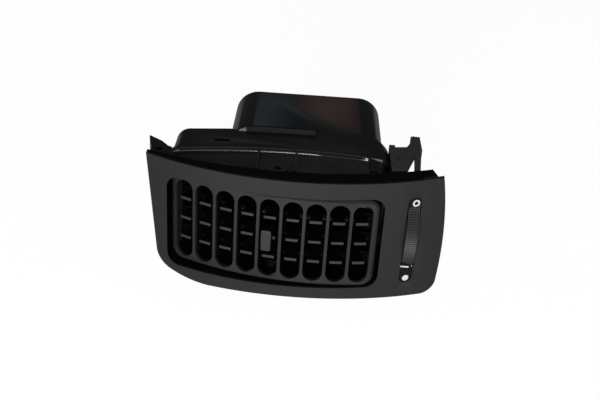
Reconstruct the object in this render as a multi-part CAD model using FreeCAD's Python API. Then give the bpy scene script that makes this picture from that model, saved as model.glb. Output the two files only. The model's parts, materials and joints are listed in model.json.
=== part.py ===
import FreeCAD, Part
import math
import os

from FreeCAD import Vector

# Dashboard air vent, built as it is assembled: a bowed face panel, a two-shell air housing,
# a swivelling slotted grille with three fingered blades, and a thumbwheel that works a damper.
# Sizes are millimetres. X runs to the right, Y runs into the dashboard, Z is up.
# While it is drawn, X = 0 and Y = 0 lie on the crown of the face panel and Z = 0 is its lowest point.

# Face panel: a shell bowed about an upright axis, with a skirt turned back all round
PANEL_R = 204.0
PANEL_SKIN = 2.5
SKIRT_WALL = 2.2
SKIRT_DEPTH = 14.1
SKIRT_FLATTER_BY = 42.0
SKIRT_APEX_X = -8.0
NOTCH_FROM_WHEEL = 11.0
NOTCH_CHAMFER = 3.1
NOTCH_LENGTH = 11.3
NOTCH_DEPTH = 3.0
NOTCH_SIDE_DEPTH = 16.0
PANEL_TOP = 88.0
PANEL_LEFT_MARGIN = 14.47
PANEL_RIGHT_MARGIN = 22.8
PANEL_TOP_RIGHT_IN = 5.3

# Points on the panel's lower corners: how far in from the end of the panel, and how high
LEFT_CORNER = [(6.8, 18.4), (10.3, 10.6), (17.4, 5.9), (28.0, 2.9), (42.9, 1.3)]
RIGHT_CORNER = [(10.8, 0.0), (3.8, 3.1), (1.0, 10.4)]
BOTTOM_SAG = 2.4
RIGHT_EDGE_BOW_Z = 40.0

# Opening in the face panel and the rim behind it
OPENING_CORNER_R = 8.5
OPENING_GAP_LEFT = 1.7
OPENING_GAP_RIGHT = 0.9
OPENING_GAP_SIDE = 1.2
RIM_WALL = 1.5
RIM_DEPTH = 12.0

# Grille: a curved slotted front on a D-shaped frame that swivels about an upright axis
GRILLE_RECESS = 3.3
GRILLE_MARGIN_TOP = 12.2
GRILLE_MARGIN_BOTTOM = 11.8
GRILLE_HALF_WIDTH = 68.7
GRILLE_DEPTH = 34.0
GRILLE_CORNER_R = 8.0
GRILLE_END_BULGE = 0.4
GRILLE_FRONT_WALL = 3.0
GRILLE_SIDE_WALL = 2.0
GRILLE_EDGE_CHAMFER = 1.6
GRILLE_REST_SWIVEL = -3.7
PIVOT_X = -17.32
PIVOT_DEPTH = 18.7

# Slots, the deep fins between them and the pins that the grille swivels on
SLOT_COUNT = 9
SLOT_WIDTH = 13.0
SLOT_SIDE_MARGIN = 2.2
SLOT_END_MARGIN = 3.25
FIN_THICKNESS = 1.6
FIN_DEPTH = 6.0
PIVOT_PIN_R = 2.5
PIVOT_BOSS_R = 5.0
PIVOT_BOSS_DEPTH = 6.0
RUNNING_CLEARANCE = 0.06
PRESS_CLEARANCE = 0.01
MOVING_GAP = 0.4

# Blades, their bearing plates and the link that ties them together
BLADE_COUNT = 3
BLADE_PITCH = 14.6
BLADE_THICKNESS = 1.8
BLADE_AXIS_DEPTH = 24.0
BLADE_REAR_DEPTH = 31.0
FINGER_WIDTH = 8.0
FINGER_TIP_DEPTH = 1.5
CARRIER_THICKNESS = 2.2
CARRIER_END_GAP = 1.0
CARRIER_FRONT_REACH = 4.5
BLADE_PIN_R = 1.6
BLADE_PIN_ROOT = 6.0
BLADE_PIN_END_GAP = 0.2
LINK_THICKNESS = 3.0
LINK_WIDTH = 5.4
LINK_X = 7.4
LINK_PIN_R = 1.2
LINK_PIN_BACK = 10.0
LINK_SIDE_GAP = 0.35
LINK_END_PLAY = 1.2
LINK_CHEEK = 2.6
TONGUE_END = 1.9
LINK_HOLE_CLEARANCE = 0.3

# Knob on the middle blade
KNOB_WIDTH = 6.6
KNOB_HEIGHT = 15.0
KNOB_PROUD = 4.0
KNOB_BACK = 4.6
KNOB_OFFSET = -1.0
KNOB_CORNER_R = 1.2
KNOB_EDGE_CHAMFER = 0.5
KNOB_RIBS = 4
KNOB_GROOVE_DEPTH = 0.35
KNOB_GROOVE_WIDTH = 0.6
KNOB_SEAT_SLACK = 0.02

# Front housing: the box that holds the grille
HOUSING_WALL = 1.9
HOUSING_FIT = 0.2
HOUSING_CORNER_R = 13.0
FRONT_TOP_DROP = 3.3
FRONT_BOTTOM_Z = 5.0
PIVOT_SLEEVE_WALL = 1.5
TOP_RIB_PLACES = (-13.5, 11.5)
TOP_RIB_WIDTH = 1.8
TOP_RIB_HEIGHT = 2.2
TOP_RIB_START = 4.0
SLEEVE_PROUD = 1.2
CATCH_LEFT_IN = 42.0
CATCH_LEFT_WIDTH = 6.0
CATCH_RIGHT_IN = 13.6
CATCH_RIGHT_WIDTH = 14.0
CATCH_DEPTH = 3.0
CATCH_GAP = 0.1
WASHER_THICKNESS = 1.5
WASHER_RIM = 1.0

# Rear housing: overlaps the front one with a lip, narrows at a shoulder and ends in the collar
LIP_R = 330.0
LIP_APEX_X = -8.0
LIP_STRIP = 6.82296
LIP_OVERLAP = 6.0
LIP_STEP = 1.0
LIP_SIDE_WALL = 1.4
LIP_EDGE = 2.4
LIP_TAB_WIDTH = 14.1
LIP_TAB_HEIGHT = 17.0
LIP_TAB_GAP = 4.6
REAR_TOP_DROP = 0.3
REAR_LEFT_STEP = 3.53
SHOULDER_LEFT_Y = 77.0
SHOULDER_COLLAR_Y = 81.0
SHOULDER_RIGHT_Y = 66.0
SHOULDER_CORNER_R = 9.5
SHOULDER_RIGHT_IN = 2.0
REAR_EDGE_FILLET = 8.0
COLLAR_SIDE_STEP = 3.1
COLLAR_RISE = 3.9
COLLAR_BOTTOM_Z = 12.0
COLLAR_CORNER_R = 17.0
COLLAR_FRONT_Y = 72.0
COLLAR_END_Y = 136.0
COLLAR_WALL = 2.2
RAMP_LENGTH = 23.0
RAMP_WIDTH = 47.3
WINDOW_WIDTH = 10.5
WINDOW_LENGTH = 4.5
WINDOW_FROM_LEFT = 27.0
WINDOW_BEHIND_LIP = 6.9

# Thumbwheel, its axle and the bracket that carries it
WHEEL_R = 36.0
WHEEL_TRAVEL = 75.0
WHEEL_SPARE_ANGLE = 9.0
WHEEL_WIDTH = 7.6
WHEEL_ROOM = 15.7
WHEEL_PROUD = 5.0
WHEEL_ABOVE_MID = 2.9
WHEEL_RIM = 3.0
WHEEL_WEB = 2.6
WHEEL_RIB_ANGLE = 2.6
WHEEL_RIB_DEPTH = 0.45
WHEEL_HUB_R = 5.0
WHEEL_PLATE_R = 18.5
AXLE_R = 2.0
AXLE_SEAT_GAP = 0.5
AXLE_HEAD_RIM = 1.6
AXLE_HEAD_HEIGHT = 1.2
POCKET_DEPTH = 1.6
POCKET_SIDE_GAP = 0.8
POCKET_MARGIN_TOP = 11.6
POCKET_BOTTOM_Z = 11.2
WHEEL_SLOT_GAP = 0.5
WHEEL_END_GAP = 1.0
SCOOP_DEPTH = 4.15
SCOOP_REACH = 13.7
SCOOP_RIM_R = 27.8
SCOOP_FLOOR = 1.2
PAD_MARGIN = 2.5
BRACKET_BASE = 4.0
BRACKET_FRONT_Y = 30.0
BRACKET_PLATE = 2.4
BRACKET_CHEEK = 2.2
BRACKET_HALF_HEIGHT = 29.0
ARM_FRONT_Y = 60.0
ARM_END_HEIGHT = 13.0
ARM_NECK_HALF = 8.0
ARM_BRACE_RISE = 12.0
ARM_HOLE_FROM_END = 6.0
ARM_HOLE_DROP = 7.0
FOOT_LENGTH = 4.2
FOOT_HEIGHT = 11.0
SCREW_SPREAD = 24.0
SCREW_BACK = 14.0
SCREW_R = 1.45
SCREW_HEAD_R = 2.9
SCREW_HEAD_HEIGHT = 1.8
SCREW_HOLE_R = 1.5
SCREW_END = 2.0

# The bracket's top plate: distance right of the wheel's middle, distance behind the panel's skirt
BRACKET_PLAN = [(-5.8, 0.5), (0.3, 21.4), (-1.0, 0.8), (2.8, 2.4), (6.3, 47.4), (5.8, 52.7),
                (1.8, 55.4), (-0.3, 45.1), (-3.7, 36.5), (-14.0, 34.8)]

# Control rod: a parallel crank from the thumbwheel to the damper lever
CRANK_R = 14.0
CRANK_PIN_R = 1.5
CRANK_BOSS_WALL = 1.6
WHEEL_PIN_END = 1.0
LEVER_PIN_END = 1.2
ROD_THICKNESS = 2.0
ROD_WIDTH = 6.0
ROD_SIDE_GAP = 0.5
CLIP_R = 2.9
CLIP_THICKNESS = 0.8
CLIP_PLAY = 0.2

# Damper flap in the collar
DAMPER_Y = 95.0
FLAP_THICKNESS = 2.4
FLAP_TUBE_R = 4.4
SEAL_WIDTH = 3.0
SEAL_THICKNESS = 1.6
SEAL_GAP = 0.5
SHAFT_R = 2.5
BEARING_R = 6.0
BEARING_PROUD = 3.4
LEVER_HUB_R = 5.0
LEVER_THICKNESS = 2.2
LEVER_EYE_R = 3.4
LEVER_WEB_HALF = 3.2
LEVER_SCREW_R = 3.4
LEVER_SCREW_HEIGHT = 1.6
SCREW_SLOT_DEPTH = 0.8
SCREW_SLOT_HALF = 0.4
SCREW_SLOT_REACH = 2.0

# Mounting features at the two sides. The ear's outline is given from the panel's top left corner
EAR_THICKNESS = 2.2
EAR_HOLE_R = 2.1
EAR_HOLE_PLACE = (6.4, 8.9)
EAR_FRONT_GAP = 0.6
EAR_WEB_DEPTH = 14.0
EAR_WEB_WIDTH = 2.3
EAR_FOOT_DEPTH = 30.0
EAR_FOOT_RIM = 0.4
EAR_CORNER_IN = 0.5
EAR_OUTLINE = [(0.9, 10.0), (-3.5, 28.5), (1.7, 24.8), (6.2, 21.0), (11.5, 14.1), (15.9, 11.7)]
ARM_REACH_Y = 82.0
ARM_HOLE_R = 2.2

# Values worked out from the ones above
GRILLE_R = PANEL_R - GRILLE_RECESS
GRILLE_TURN_RAD = math.asin(PIVOT_X / (GRILLE_R - PIVOT_DEPTH))
GRILLE_TURN = math.degrees(GRILLE_TURN_RAD)
PIVOT_Y = PANEL_R - (GRILLE_R - PIVOT_DEPTH) * math.cos(GRILLE_TURN_RAD)
GRILLE_END_DEPTH = GRILLE_R - math.sqrt(GRILLE_R ** 2 - GRILLE_HALF_WIDTH ** 2)
SWEEP_R = math.hypot(GRILLE_HALF_WIDTH, PIVOT_DEPTH - GRILLE_END_DEPTH) + GRILLE_END_BULGE
GRILLE_BOTTOM_Z = GRILLE_MARGIN_BOTTOM
GRILLE_TOP_Z = PANEL_TOP - GRILLE_MARGIN_TOP
GRILLE_HEIGHT = GRILLE_TOP_Z - GRILLE_BOTTOM_Z
GRILLE_MID_Z = (GRILLE_TOP_Z + GRILLE_BOTTOM_Z) / 2.0
SLOT_HEIGHT = GRILLE_HEIGHT - 2 * SLOT_END_MARGIN
SLOT_PITCH = (2 * (GRILLE_HALF_WIDTH - SLOT_SIDE_MARGIN) - SLOT_WIDTH) / (SLOT_COUNT - 1.0)
OPENING_LEFT = PIVOT_X - SWEEP_R - OPENING_GAP_LEFT
OPENING_RIGHT = PIVOT_X + SWEEP_R + OPENING_GAP_RIGHT
OPENING_BOTTOM = GRILLE_BOTTOM_Z - OPENING_GAP_SIDE
OPENING_TOP = GRILLE_TOP_Z + OPENING_GAP_SIDE
HOUSING_LEFT = OPENING_LEFT - RIM_WALL - HOUSING_FIT - HOUSING_WALL
HOUSING_RIGHT = OPENING_RIGHT + RIM_WALL + HOUSING_FIT + HOUSING_WALL
HOUSING_FRONT_R = PANEL_R - PANEL_SKIN - HOUSING_FIT
FRONT_TOP_Z = PANEL_TOP - FRONT_TOP_DROP
REAR_TOP_Z = PANEL_TOP - REAR_TOP_DROP
REAR_LEFT = HOUSING_LEFT + REAR_LEFT_STEP
SKIRT_REAR_R = PANEL_R + SKIRT_FLATTER_BY
EAR_SCREW_END_X = HOUSING_LEFT - EAR_THICKNESS - SCREW_HEAD_HEIGHT
SKIRT_DROP = SKIRT_REAR_R - math.sqrt(SKIRT_REAR_R ** 2 - (HOUSING_LEFT - SKIRT_APEX_X) ** 2)
PANEL_BACK_Y = PANEL_R - math.sqrt((PANEL_R - PANEL_SKIN) ** 2 - EAR_SCREW_END_X ** 2)
LIP_STRIP_Y = max(SKIRT_DEPTH + SKIRT_DROP, PANEL_BACK_Y)
LIP_DROP = LIP_R - math.sqrt(LIP_R ** 2 - (HOUSING_LEFT - LIP_APEX_X) ** 2)
LIP_APEX_Y = LIP_STRIP_Y + LIP_STRIP + LIP_DROP
LIP_CORNER_R = HOUSING_CORNER_R + LIP_SIDE_WALL
LIP_LEFT = HOUSING_LEFT - HOUSING_FIT - LIP_SIDE_WALL
COLLAR_WIDTH = 2 * (HOUSING_RIGHT - COLLAR_SIDE_STEP)
COLLAR_TOP_Z = REAR_TOP_Z + COLLAR_RISE
WASHER_BOTTOM_Z = GRILLE_BOTTOM_Z - MOVING_GAP - WASHER_THICKNESS
WHEEL_X = HOUSING_RIGHT + WHEEL_ROOM
POCKET_TOP_Z = PANEL_TOP - POCKET_MARGIN_TOP
WHEEL_Z = (POCKET_TOP_Z + POCKET_BOTTOM_Z) / 2.0 + WHEEL_ABOVE_MID
PANEL_TOP_LEFT = OPENING_LEFT - PANEL_LEFT_MARGIN
PANEL_RIGHT = WHEEL_X + PANEL_RIGHT_MARGIN
PANEL_TOP_RIGHT = PANEL_RIGHT - PANEL_TOP_RIGHT_IN
SKIRT_NOTCH_X = WHEEL_X + NOTCH_FROM_WHEEL
SCOOP_REACH_X = WHEEL_X + SCOOP_REACH
SCOOP_R = (SCOOP_RIM_R ** 2 + SCOOP_DEPTH ** 2) / (2 * SCOOP_DEPTH)
WHEEL_LEFT_X = WHEEL_X - WHEEL_WIDTH / 2.0
WHEEL_RIGHT_X = WHEEL_X + WHEEL_WIDTH / 2.0
WHEEL_FACE_Y = PANEL_R - math.sqrt(PANEL_R ** 2 - WHEEL_X ** 2)
WHEEL_Y = WHEEL_FACE_Y - WHEEL_PROUD + WHEEL_R
BRACKET_LEFT = HOUSING_RIGHT
CHEEK_X = WHEEL_RIGHT_X + ROD_SIDE_GAP
COLLAR_MID_Z = (COLLAR_TOP_Z + COLLAR_BOTTOM_Z) / 2.0
ROD_RIGHT_X = WHEEL_LEFT_X - ROD_SIDE_GAP
ROD_LEFT_X = ROD_RIGHT_X - ROD_THICKNESS
ROD_SPAN_Y = DAMPER_Y - WHEEL_Y
ROD_SPAN_Z = COLLAR_MID_Z - WHEEL_Z
ROD_SPAN_ANGLE = math.degrees(math.atan2(ROD_SPAN_Z, ROD_SPAN_Y))
CRANK_ANGLE = math.radians(90.0 + WHEEL_TRAVEL / 2.0 + ROD_SPAN_ANGLE)
CRANK_DY = CRANK_R * math.cos(CRANK_ANGLE)
CRANK_DZ = CRANK_R * math.sin(CRANK_ANGLE)
LEVER_RIGHT_X = ROD_LEFT_X - ROD_SIDE_GAP
LEVER_LEFT_X = LEVER_RIGHT_X - LEVER_THICKNESS

X_AXIS = Vector(1, 0, 0)
Y_AXIS = Vector(0, 1, 0)
Z_AXIS = Vector(0, 0, 1)


def box(x0, x1, y0, y1, z0, z1):
    return Part.makeBox(x1 - x0, y1 - y0, z1 - z0, Vector(x0, y0, z0))


def rod_x(radius, x0, x1, y, z):
    return Part.makeCylinder(radius, x1 - x0, Vector(x0, y, z), X_AXIS)


def rod_z(radius, z0, z1, x, y):
    return Part.makeCylinder(radius, z1 - z0, Vector(x, y, z0), Z_AXIS)


def panel_cylinder(radius):
    """A solid cylinder about the panel's own axis, taller than the vent."""
    return Part.makeCylinder(radius, 3 * PANEL_TOP, Vector(0, PANEL_R, -PANEL_TOP), Z_AXIS)


def skirt_cylinder(behind):
    """A cylinder whose near side follows the rear edge of the panel's skirt, or lies behind it."""
    return Part.makeCylinder(SKIRT_REAR_R - behind, 3 * PANEL_TOP,
                             Vector(SKIRT_APEX_X, SKIRT_DEPTH + SKIRT_REAR_R, -PANEL_TOP), Z_AXIS)


def skirt_rear_y(x):
    """How far back the panel's skirt reaches at a place across the vent."""
    return SKIRT_DEPTH + SKIRT_REAR_R - math.sqrt(SKIRT_REAR_R ** 2 - (x - SKIRT_APEX_X) ** 2)


def between_radii(solid, outer, inner):
    """The part of a solid that lies between two depths behind the panel's face."""
    return solid.common(panel_cylinder(outer)).cut(panel_cylinder(inner))


def rounded_rect_wire(x0, x1, z0, z1, radius, y):
    """A rectangle with round corners, standing in the X-Z plane at depth y."""
    inset = radius * (1.0 - math.sqrt(0.5))
    edges = []
    corners = [
        ((x0, z0 + radius), (x0 + inset, z0 + inset), (x0 + radius, z0)),
        ((x1 - radius, z0), (x1 - inset, z0 + inset), (x1, z0 + radius)),
        ((x1, z1 - radius), (x1 - inset, z1 - inset), (x1 - radius, z1)),
        ((x0 + radius, z1), (x0 + inset, z1 - inset), (x0, z1 - radius)),
    ]
    for index, corner in enumerate(corners):
        first, middle, last = [Vector(x, y, z) for x, z in corner]
        edges.append(Part.Arc(first, middle, last).toShape())
        following = corners[(index + 1) % len(corners)][0]
        start = Vector(following[0], y, following[1])
        if last.distanceToPoint(start) > 1e-6:
            edges.append(Part.LineSegment(last, start).toShape())
    return Part.Wire(Part.__sortEdges__(edges))


def rounded_prism(x0, x1, z0, z1, radius, y0, y1):
    face = Part.Face(rounded_rect_wire(x0, x1, z0, z1, radius, y0))
    return face.extrude(Vector(0, y1 - y0, 0))


def plan_prism(points, z0, z1):
    """A flat outline in plan, given corner by corner, raised from z0 to z1."""
    corners = [Vector(x, y, z0) for x, y in points]
    face = Part.Face(Part.makePolygon(corners + corners[:1]))
    return face.extrude(Vector(0, 0, z1 - z0))


def side_prism(points, x0, x1):
    """An outline in the Y-Z plane, given corner by corner, raised from x0 to x1."""
    corners = [Vector(x0, y, z) for y, z in points]
    face = Part.Face(Part.makePolygon(corners + corners[:1]))
    return face.extrude(Vector(x1 - x0, 0, 0))


def fuse_all(solids):
    whole = solids[0]
    for solid in solids[1:]:
        whole = whole.fuse(solid)
    return whole.removeSplitter()


# Face panel

def panel_outline_edges():
    """The panel's edge seen from the front: straight top and left, soft lower corners."""
    top_left = Vector(PANEL_TOP_LEFT, 0, PANEL_TOP)
    left = [Vector(PANEL_TOP_LEFT + x, 0, z) for x, z in LEFT_CORNER]
    right = [Vector(PANEL_RIGHT - x, 0, z) for x, z in RIGHT_CORNER]
    bottom_mid = Vector((left[-1].x + right[0].x) / 2.0, 0, BOTTOM_SAG)
    right_mid = Vector(PANEL_RIGHT, 0, RIGHT_EDGE_BOW_Z)
    top_right = Vector(PANEL_TOP_RIGHT, 0, PANEL_TOP)
    return [
        Part.LineSegment(top_left, left[0]).toShape(),
        Part.Arc(left[0], left[1], left[2]).toShape(),
        Part.Arc(left[2], left[3], left[4]).toShape(),
        Part.Arc(left[4], bottom_mid, right[0]).toShape(),
        Part.Arc(right[0], right[1], right[2]).toShape(),
        Part.Arc(right[2], right_mid, top_right).toShape(),
        Part.LineSegment(top_right, top_left).toShape(),
    ]


def panel_prism(inset):
    """The panel's outline, drawn in by a wall thickness and run straight back."""
    face = Part.Face(Part.Wire(panel_outline_edges()))
    if inset > 0:
        face = face.makeOffset2D(-inset)
    return face.extrude(Vector(0, PANEL_R, 0))


def wheel_pocket(side_gap, end_gap):
    """The long round-ended pocket that the thumbwheel and its two marks sit in."""
    half = WHEEL_WIDTH / 2.0 + side_gap
    return rounded_prism(WHEEL_X - half, WHEEL_X + half, POCKET_BOTTOM_Z - end_gap,
                         POCKET_TOP_Z + end_gap, half - 0.01, 0, PANEL_R)


def finger_scoop():
    """A shallow dish on the outer side of the wheel, where a finger rolls it."""
    centre_x = SCOOP_REACH_X - SCOOP_RIM_R
    angle = math.asin(centre_x / PANEL_R)
    reach = PANEL_R + SCOOP_R - SCOOP_DEPTH
    centre = Vector(reach * math.sin(angle), PANEL_R - reach * math.cos(angle), WHEEL_Z)
    ball = Part.makeSphere(SCOOP_R, centre)
    right_half = box(WHEEL_X, WHEEL_X + SCOOP_RIM_R, -SCOOP_RIM_R, PANEL_R, 0, PANEL_TOP)
    return ball.common(right_half)


def skirt_notch():
    """The cut at the right end of the skirt: a step in its top and a deeper one in its side wall."""
    rear_y = skirt_rear_y(SKIRT_NOTCH_X)
    front_y = rear_y - NOTCH_LENGTH
    inner_x = SKIRT_NOTCH_X + NOTCH_CHAMFER
    outline = [(SKIRT_NOTCH_X, 2 * rear_y), (SKIRT_NOTCH_X, rear_y), (inner_x, front_y),
               (2 * PANEL_RIGHT, front_y), (2 * PANEL_RIGHT, 2 * rear_y)]
    top_cut = plan_prism(outline, PANEL_TOP - NOTCH_DEPTH, PANEL_TOP + 1)
    side_cut = box(inner_x, 2 * PANEL_RIGHT, front_y, 2 * rear_y, PANEL_TOP - NOTCH_SIDE_DEPTH,
                   PANEL_TOP + 1)
    behind_face = panel_cylinder(PANEL_R - PANEL_SKIN)
    return [top_cut.common(behind_face), side_cut.common(behind_face)]


def make_face_panel():
    skin = panel_prism(0).common(panel_cylinder(PANEL_R)).cut(skirt_cylinder(0))
    hollow = panel_prism(SKIRT_WALL).common(panel_cylinder(PANEL_R - PANEL_SKIN))
    panel = skin.cut(hollow)
    rim = rounded_prism(OPENING_LEFT - RIM_WALL, OPENING_RIGHT + RIM_WALL, OPENING_BOTTOM - RIM_WALL,
                        OPENING_TOP + RIM_WALL, OPENING_CORNER_R + RIM_WALL, 0, PANEL_R)
    rim = between_radii(rim, PANEL_R - PANEL_SKIN / 2.0, PANEL_R - RIM_DEPTH)
    pad = box(WHEEL_LEFT_X - PAD_MARGIN, SCOOP_REACH_X + PAD_MARGIN, 0, PANEL_R,
              POCKET_BOTTOM_Z - PAD_MARGIN, POCKET_TOP_Z + PAD_MARGIN)
    pad = between_radii(pad, PANEL_R - PANEL_SKIN / 2.0, PANEL_R - SCOOP_DEPTH - SCOOP_FLOOR)
    panel = panel.fuse([rim, pad])
    opening = rounded_prism(OPENING_LEFT, OPENING_RIGHT, OPENING_BOTTOM, OPENING_TOP,
                            OPENING_CORNER_R, -1, PANEL_R)
    pocket = wheel_pocket(POCKET_SIDE_GAP, 0).cut(panel_cylinder(PANEL_R - POCKET_DEPTH))
    wheel_slot = rod_x(WHEEL_R + WHEEL_END_GAP, WHEEL_LEFT_X - WHEEL_SLOT_GAP,
                       WHEEL_RIGHT_X + WHEEL_SLOT_GAP, WHEEL_Y, WHEEL_Z)
    for cutter in [opening, wheel_slot, pocket, finger_scoop()] + skirt_notch():
        panel = panel.cut(cutter)
    return panel.removeSplitter()


# Grille, drawn with the middle of its face at X = 0, Y = 0, then set in place

def grille_cylinder(radius):
    return Part.makeCylinder(radius, 3 * GRILLE_HEIGHT,
                             Vector(0, GRILLE_R, GRILLE_MID_Z - 1.5 * GRILLE_HEIGHT), Z_AXIS)


def about_grille_axis(solid, arc_length):
    """Turn a solid round the grille's curve by a distance measured along its face."""
    turned = solid.copy()
    turned.rotate(Vector(0, GRILLE_R, 0), Z_AXIS, math.degrees(arc_length / GRILLE_R))
    return turned


def to_rest(solid):
    """Carry a grille piece from its drawing place to where it rests in the vent."""
    placed = solid.copy()
    placed.translate(Vector(PIVOT_X, PIVOT_Y - PIVOT_DEPTH, 0))
    placed.rotate(Vector(PIVOT_X, PIVOT_Y, 0), Z_AXIS, GRILLE_TURN + GRILLE_REST_SWIVEL)
    return placed


def slot_offsets():
    middle = (SLOT_COUNT - 1) / 2.0
    return [(index - middle) * SLOT_PITCH for index in range(SLOT_COUNT)]


def blade_heights():
    middle = (BLADE_COUNT - 1) / 2.0
    return [GRILLE_MID_Z + (index - middle) * BLADE_PITCH for index in range(BLADE_COUNT)]


def grille_inner_prism(y0, y1):
    wall = GRILLE_SIDE_WALL
    return rounded_prism(-GRILLE_HALF_WIDTH + wall, GRILLE_HALF_WIDTH - wall, GRILLE_BOTTOM_Z + wall,
                         GRILLE_TOP_Z - wall, GRILLE_CORNER_R - wall, y0, y1)


def front_edge_loop(solid):
    """The edges where the curved face meets the sides of the grille."""
    loop = []
    for edge in solid.Edges:
        points = edge.discretize(5)
        on_face = all(abs(math.hypot(p.x, p.y - GRILLE_R) - GRILLE_R) < 0.01 for p in points)
        if on_face:
            loop.append(edge)
    return loop


def make_grille_frame():
    body = rounded_prism(-GRILLE_HALF_WIDTH, GRILLE_HALF_WIDTH, GRILLE_BOTTOM_Z, GRILLE_TOP_Z,
                         GRILLE_CORNER_R, -1, GRILLE_DEPTH)
    body = body.common(grille_cylinder(GRILLE_R))
    body = body.common(rod_z(SWEEP_R, GRILLE_BOTTOM_Z - 1, GRILLE_TOP_Z + 1, 0, PIVOT_DEPTH))
    body = body.makeChamfer(GRILLE_EDGE_CHAMFER, front_edge_loop(body))
    hollow = grille_inner_prism(-1, GRILLE_DEPTH + 1)
    hollow = hollow.common(grille_cylinder(GRILLE_R - GRILLE_FRONT_WALL))
    frame = body.cut(hollow)
    fin = box(-FIN_THICKNESS / 2.0, FIN_THICKNESS / 2.0, GRILLE_FRONT_WALL / 2.0,
              GRILLE_FRONT_WALL + FIN_DEPTH, GRILLE_BOTTOM_Z + 1, GRILLE_TOP_Z - 1)
    fins = [about_grille_axis(fin, offset + SLOT_PITCH / 2.0) for offset in slot_offsets()[:-1]]
    bosses = []
    for z0 in (GRILLE_BOTTOM_Z + 1, GRILLE_TOP_Z - 1 - PIVOT_BOSS_DEPTH):
        bosses.append(rod_z(PIVOT_BOSS_R, z0, z0 + PIVOT_BOSS_DEPTH, 0, PIVOT_DEPTH))
    frame = frame.fuse(fins + bosses)
    half = SLOT_WIDTH / 2.0
    slot = rounded_prism(-half, half, GRILLE_MID_Z - SLOT_HEIGHT / 2.0,
                         GRILLE_MID_Z + SLOT_HEIGHT / 2.0, half - 0.01, -2, GRILLE_FRONT_WALL + 1)
    cuts = [about_grille_axis(slot, offset) for offset in slot_offsets()]
    cuts.append(rod_z(PIVOT_PIN_R + PRESS_CLEARANCE, GRILLE_BOTTOM_Z - 1, GRILLE_TOP_Z + 1, 0,
                      PIVOT_DEPTH))
    return frame.cut(cuts).removeSplitter()


def carrier_inner_x():
    return GRILLE_HALF_WIDTH - GRILLE_SIDE_WALL - CARRIER_THICKNESS


def make_blade_carrier(side):
    """A bearing plate at one end of the grille that holds the three blade pins."""
    inner = carrier_inner_x()
    outer = inner + CARRIER_THICKNESS
    top = GRILLE_TOP_Z - GRILLE_CORNER_R
    bottom = GRILLE_BOTTOM_Z + GRILLE_CORNER_R
    front_y = BLADE_AXIS_DEPTH - CARRIER_FRONT_REACH
    points = [(front_y, bottom), (GRILLE_DEPTH - 1, bottom), (GRILLE_DEPTH - 1, top), (front_y, top)]
    plate = side_prism(points, inner, outer)
    holes = [rod_x(BLADE_PIN_R + RUNNING_CLEARANCE, inner - 1, outer + 1, BLADE_AXIS_DEPTH, z)
             for z in blade_heights()]
    plate = plate.cut(holes)
    if side < 0:
        plate = plate.mirror(Vector(0, 0, 0), X_AXIS)
    return plate


def make_pivot_pins():
    lower = rod_z(PIVOT_PIN_R, FRONT_BOTTOM_Z + MOVING_GAP, GRILLE_BOTTOM_Z + PIVOT_BOSS_DEPTH, 0,
                  PIVOT_DEPTH)
    upper = rod_z(PIVOT_PIN_R, GRILLE_TOP_Z - PIVOT_BOSS_DEPTH, FRONT_TOP_Z - MOVING_GAP, 0,
                  PIVOT_DEPTH)
    return Part.makeCompound([lower, upper])


def make_blade(height):
    """One horizontal blade: a bowed plate, nine fingers, two end pins and the link's tongue."""
    half_length = carrier_inner_x() - CARRIER_END_GAP
    front_r = GRILLE_R - GRILLE_FRONT_WALL - FIN_DEPTH - 2 * MOVING_GAP
    z0 = height - BLADE_THICKNESS / 2.0
    z1 = height + BLADE_THICKNESS / 2.0
    plate = box(-half_length, half_length, 0, BLADE_REAR_DEPTH, z0, z1)
    plate = plate.common(grille_cylinder(front_r))
    tip_r = GRILLE_R - FINGER_TIP_DEPTH
    finger = box(-FINGER_WIDTH / 2.0, FINGER_WIDTH / 2.0, 0, GRILLE_R - front_r + 2, z0, z1)
    fingers = [about_grille_axis(finger, offset).common(grille_cylinder(tip_r))
               for offset in slot_offsets()]
    pin_end = carrier_inner_x() + CARRIER_THICKNESS - BLADE_PIN_END_GAP
    pin_root = half_length - BLADE_PIN_ROOT
    pins = [rod_x(BLADE_PIN_R, pin_root, pin_end, BLADE_AXIS_DEPTH, height),
            rod_x(BLADE_PIN_R, -pin_end, -pin_root, BLADE_AXIS_DEPTH, height)]
    notch_half = LINK_THICKNESS / 2.0 + LINK_SIDE_GAP
    crank_y = BLADE_AXIS_DEPTH + LINK_PIN_BACK
    tongue_half = notch_half + LINK_CHEEK
    tongue = box(LINK_X - tongue_half, LINK_X + tongue_half, BLADE_REAR_DEPTH - 1,
                 crank_y + TONGUE_END, z0, z1)
    notch = box(LINK_X - notch_half, LINK_X + notch_half, crank_y - LINK_WIDTH / 2.0 - LINK_END_PLAY,
                crank_y + 2 * TONGUE_END, z0 - 1, z1 + 1)
    crank_pin = rod_x(LINK_PIN_R, LINK_X - notch_half - 1, LINK_X + notch_half + 1, crank_y, height)
    blade = fuse_all([plate, tongue] + fingers).cut(notch)
    return fuse_all([blade, crank_pin] + pins)


def make_blade_link():
    """The upright bar behind the blades that makes all three tilt together."""
    crank_y = BLADE_AXIS_DEPTH + LINK_PIN_BACK
    heights = blade_heights()
    end = LINK_WIDTH / 2.0
    x0 = LINK_X - LINK_THICKNESS / 2.0
    x1 = LINK_X + LINK_THICKNESS / 2.0
    bar = box(x0, x1, crank_y - end, crank_y + end, heights[0], heights[-1])
    ends = [rod_x(end, x0, x1, crank_y, z) for z in (heights[0], heights[-1])]
    bar = fuse_all([bar] + ends)
    holes = []
    for z in heights:
        clearance = RUNNING_CLEARANCE if abs(z - GRILLE_MID_Z) < 0.1 else LINK_HOLE_CLEARANCE
        holes.append(rod_x(LINK_PIN_R + clearance, x0 - 1, x1 + 1, crank_y, z))
    return bar.cut(holes)


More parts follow.
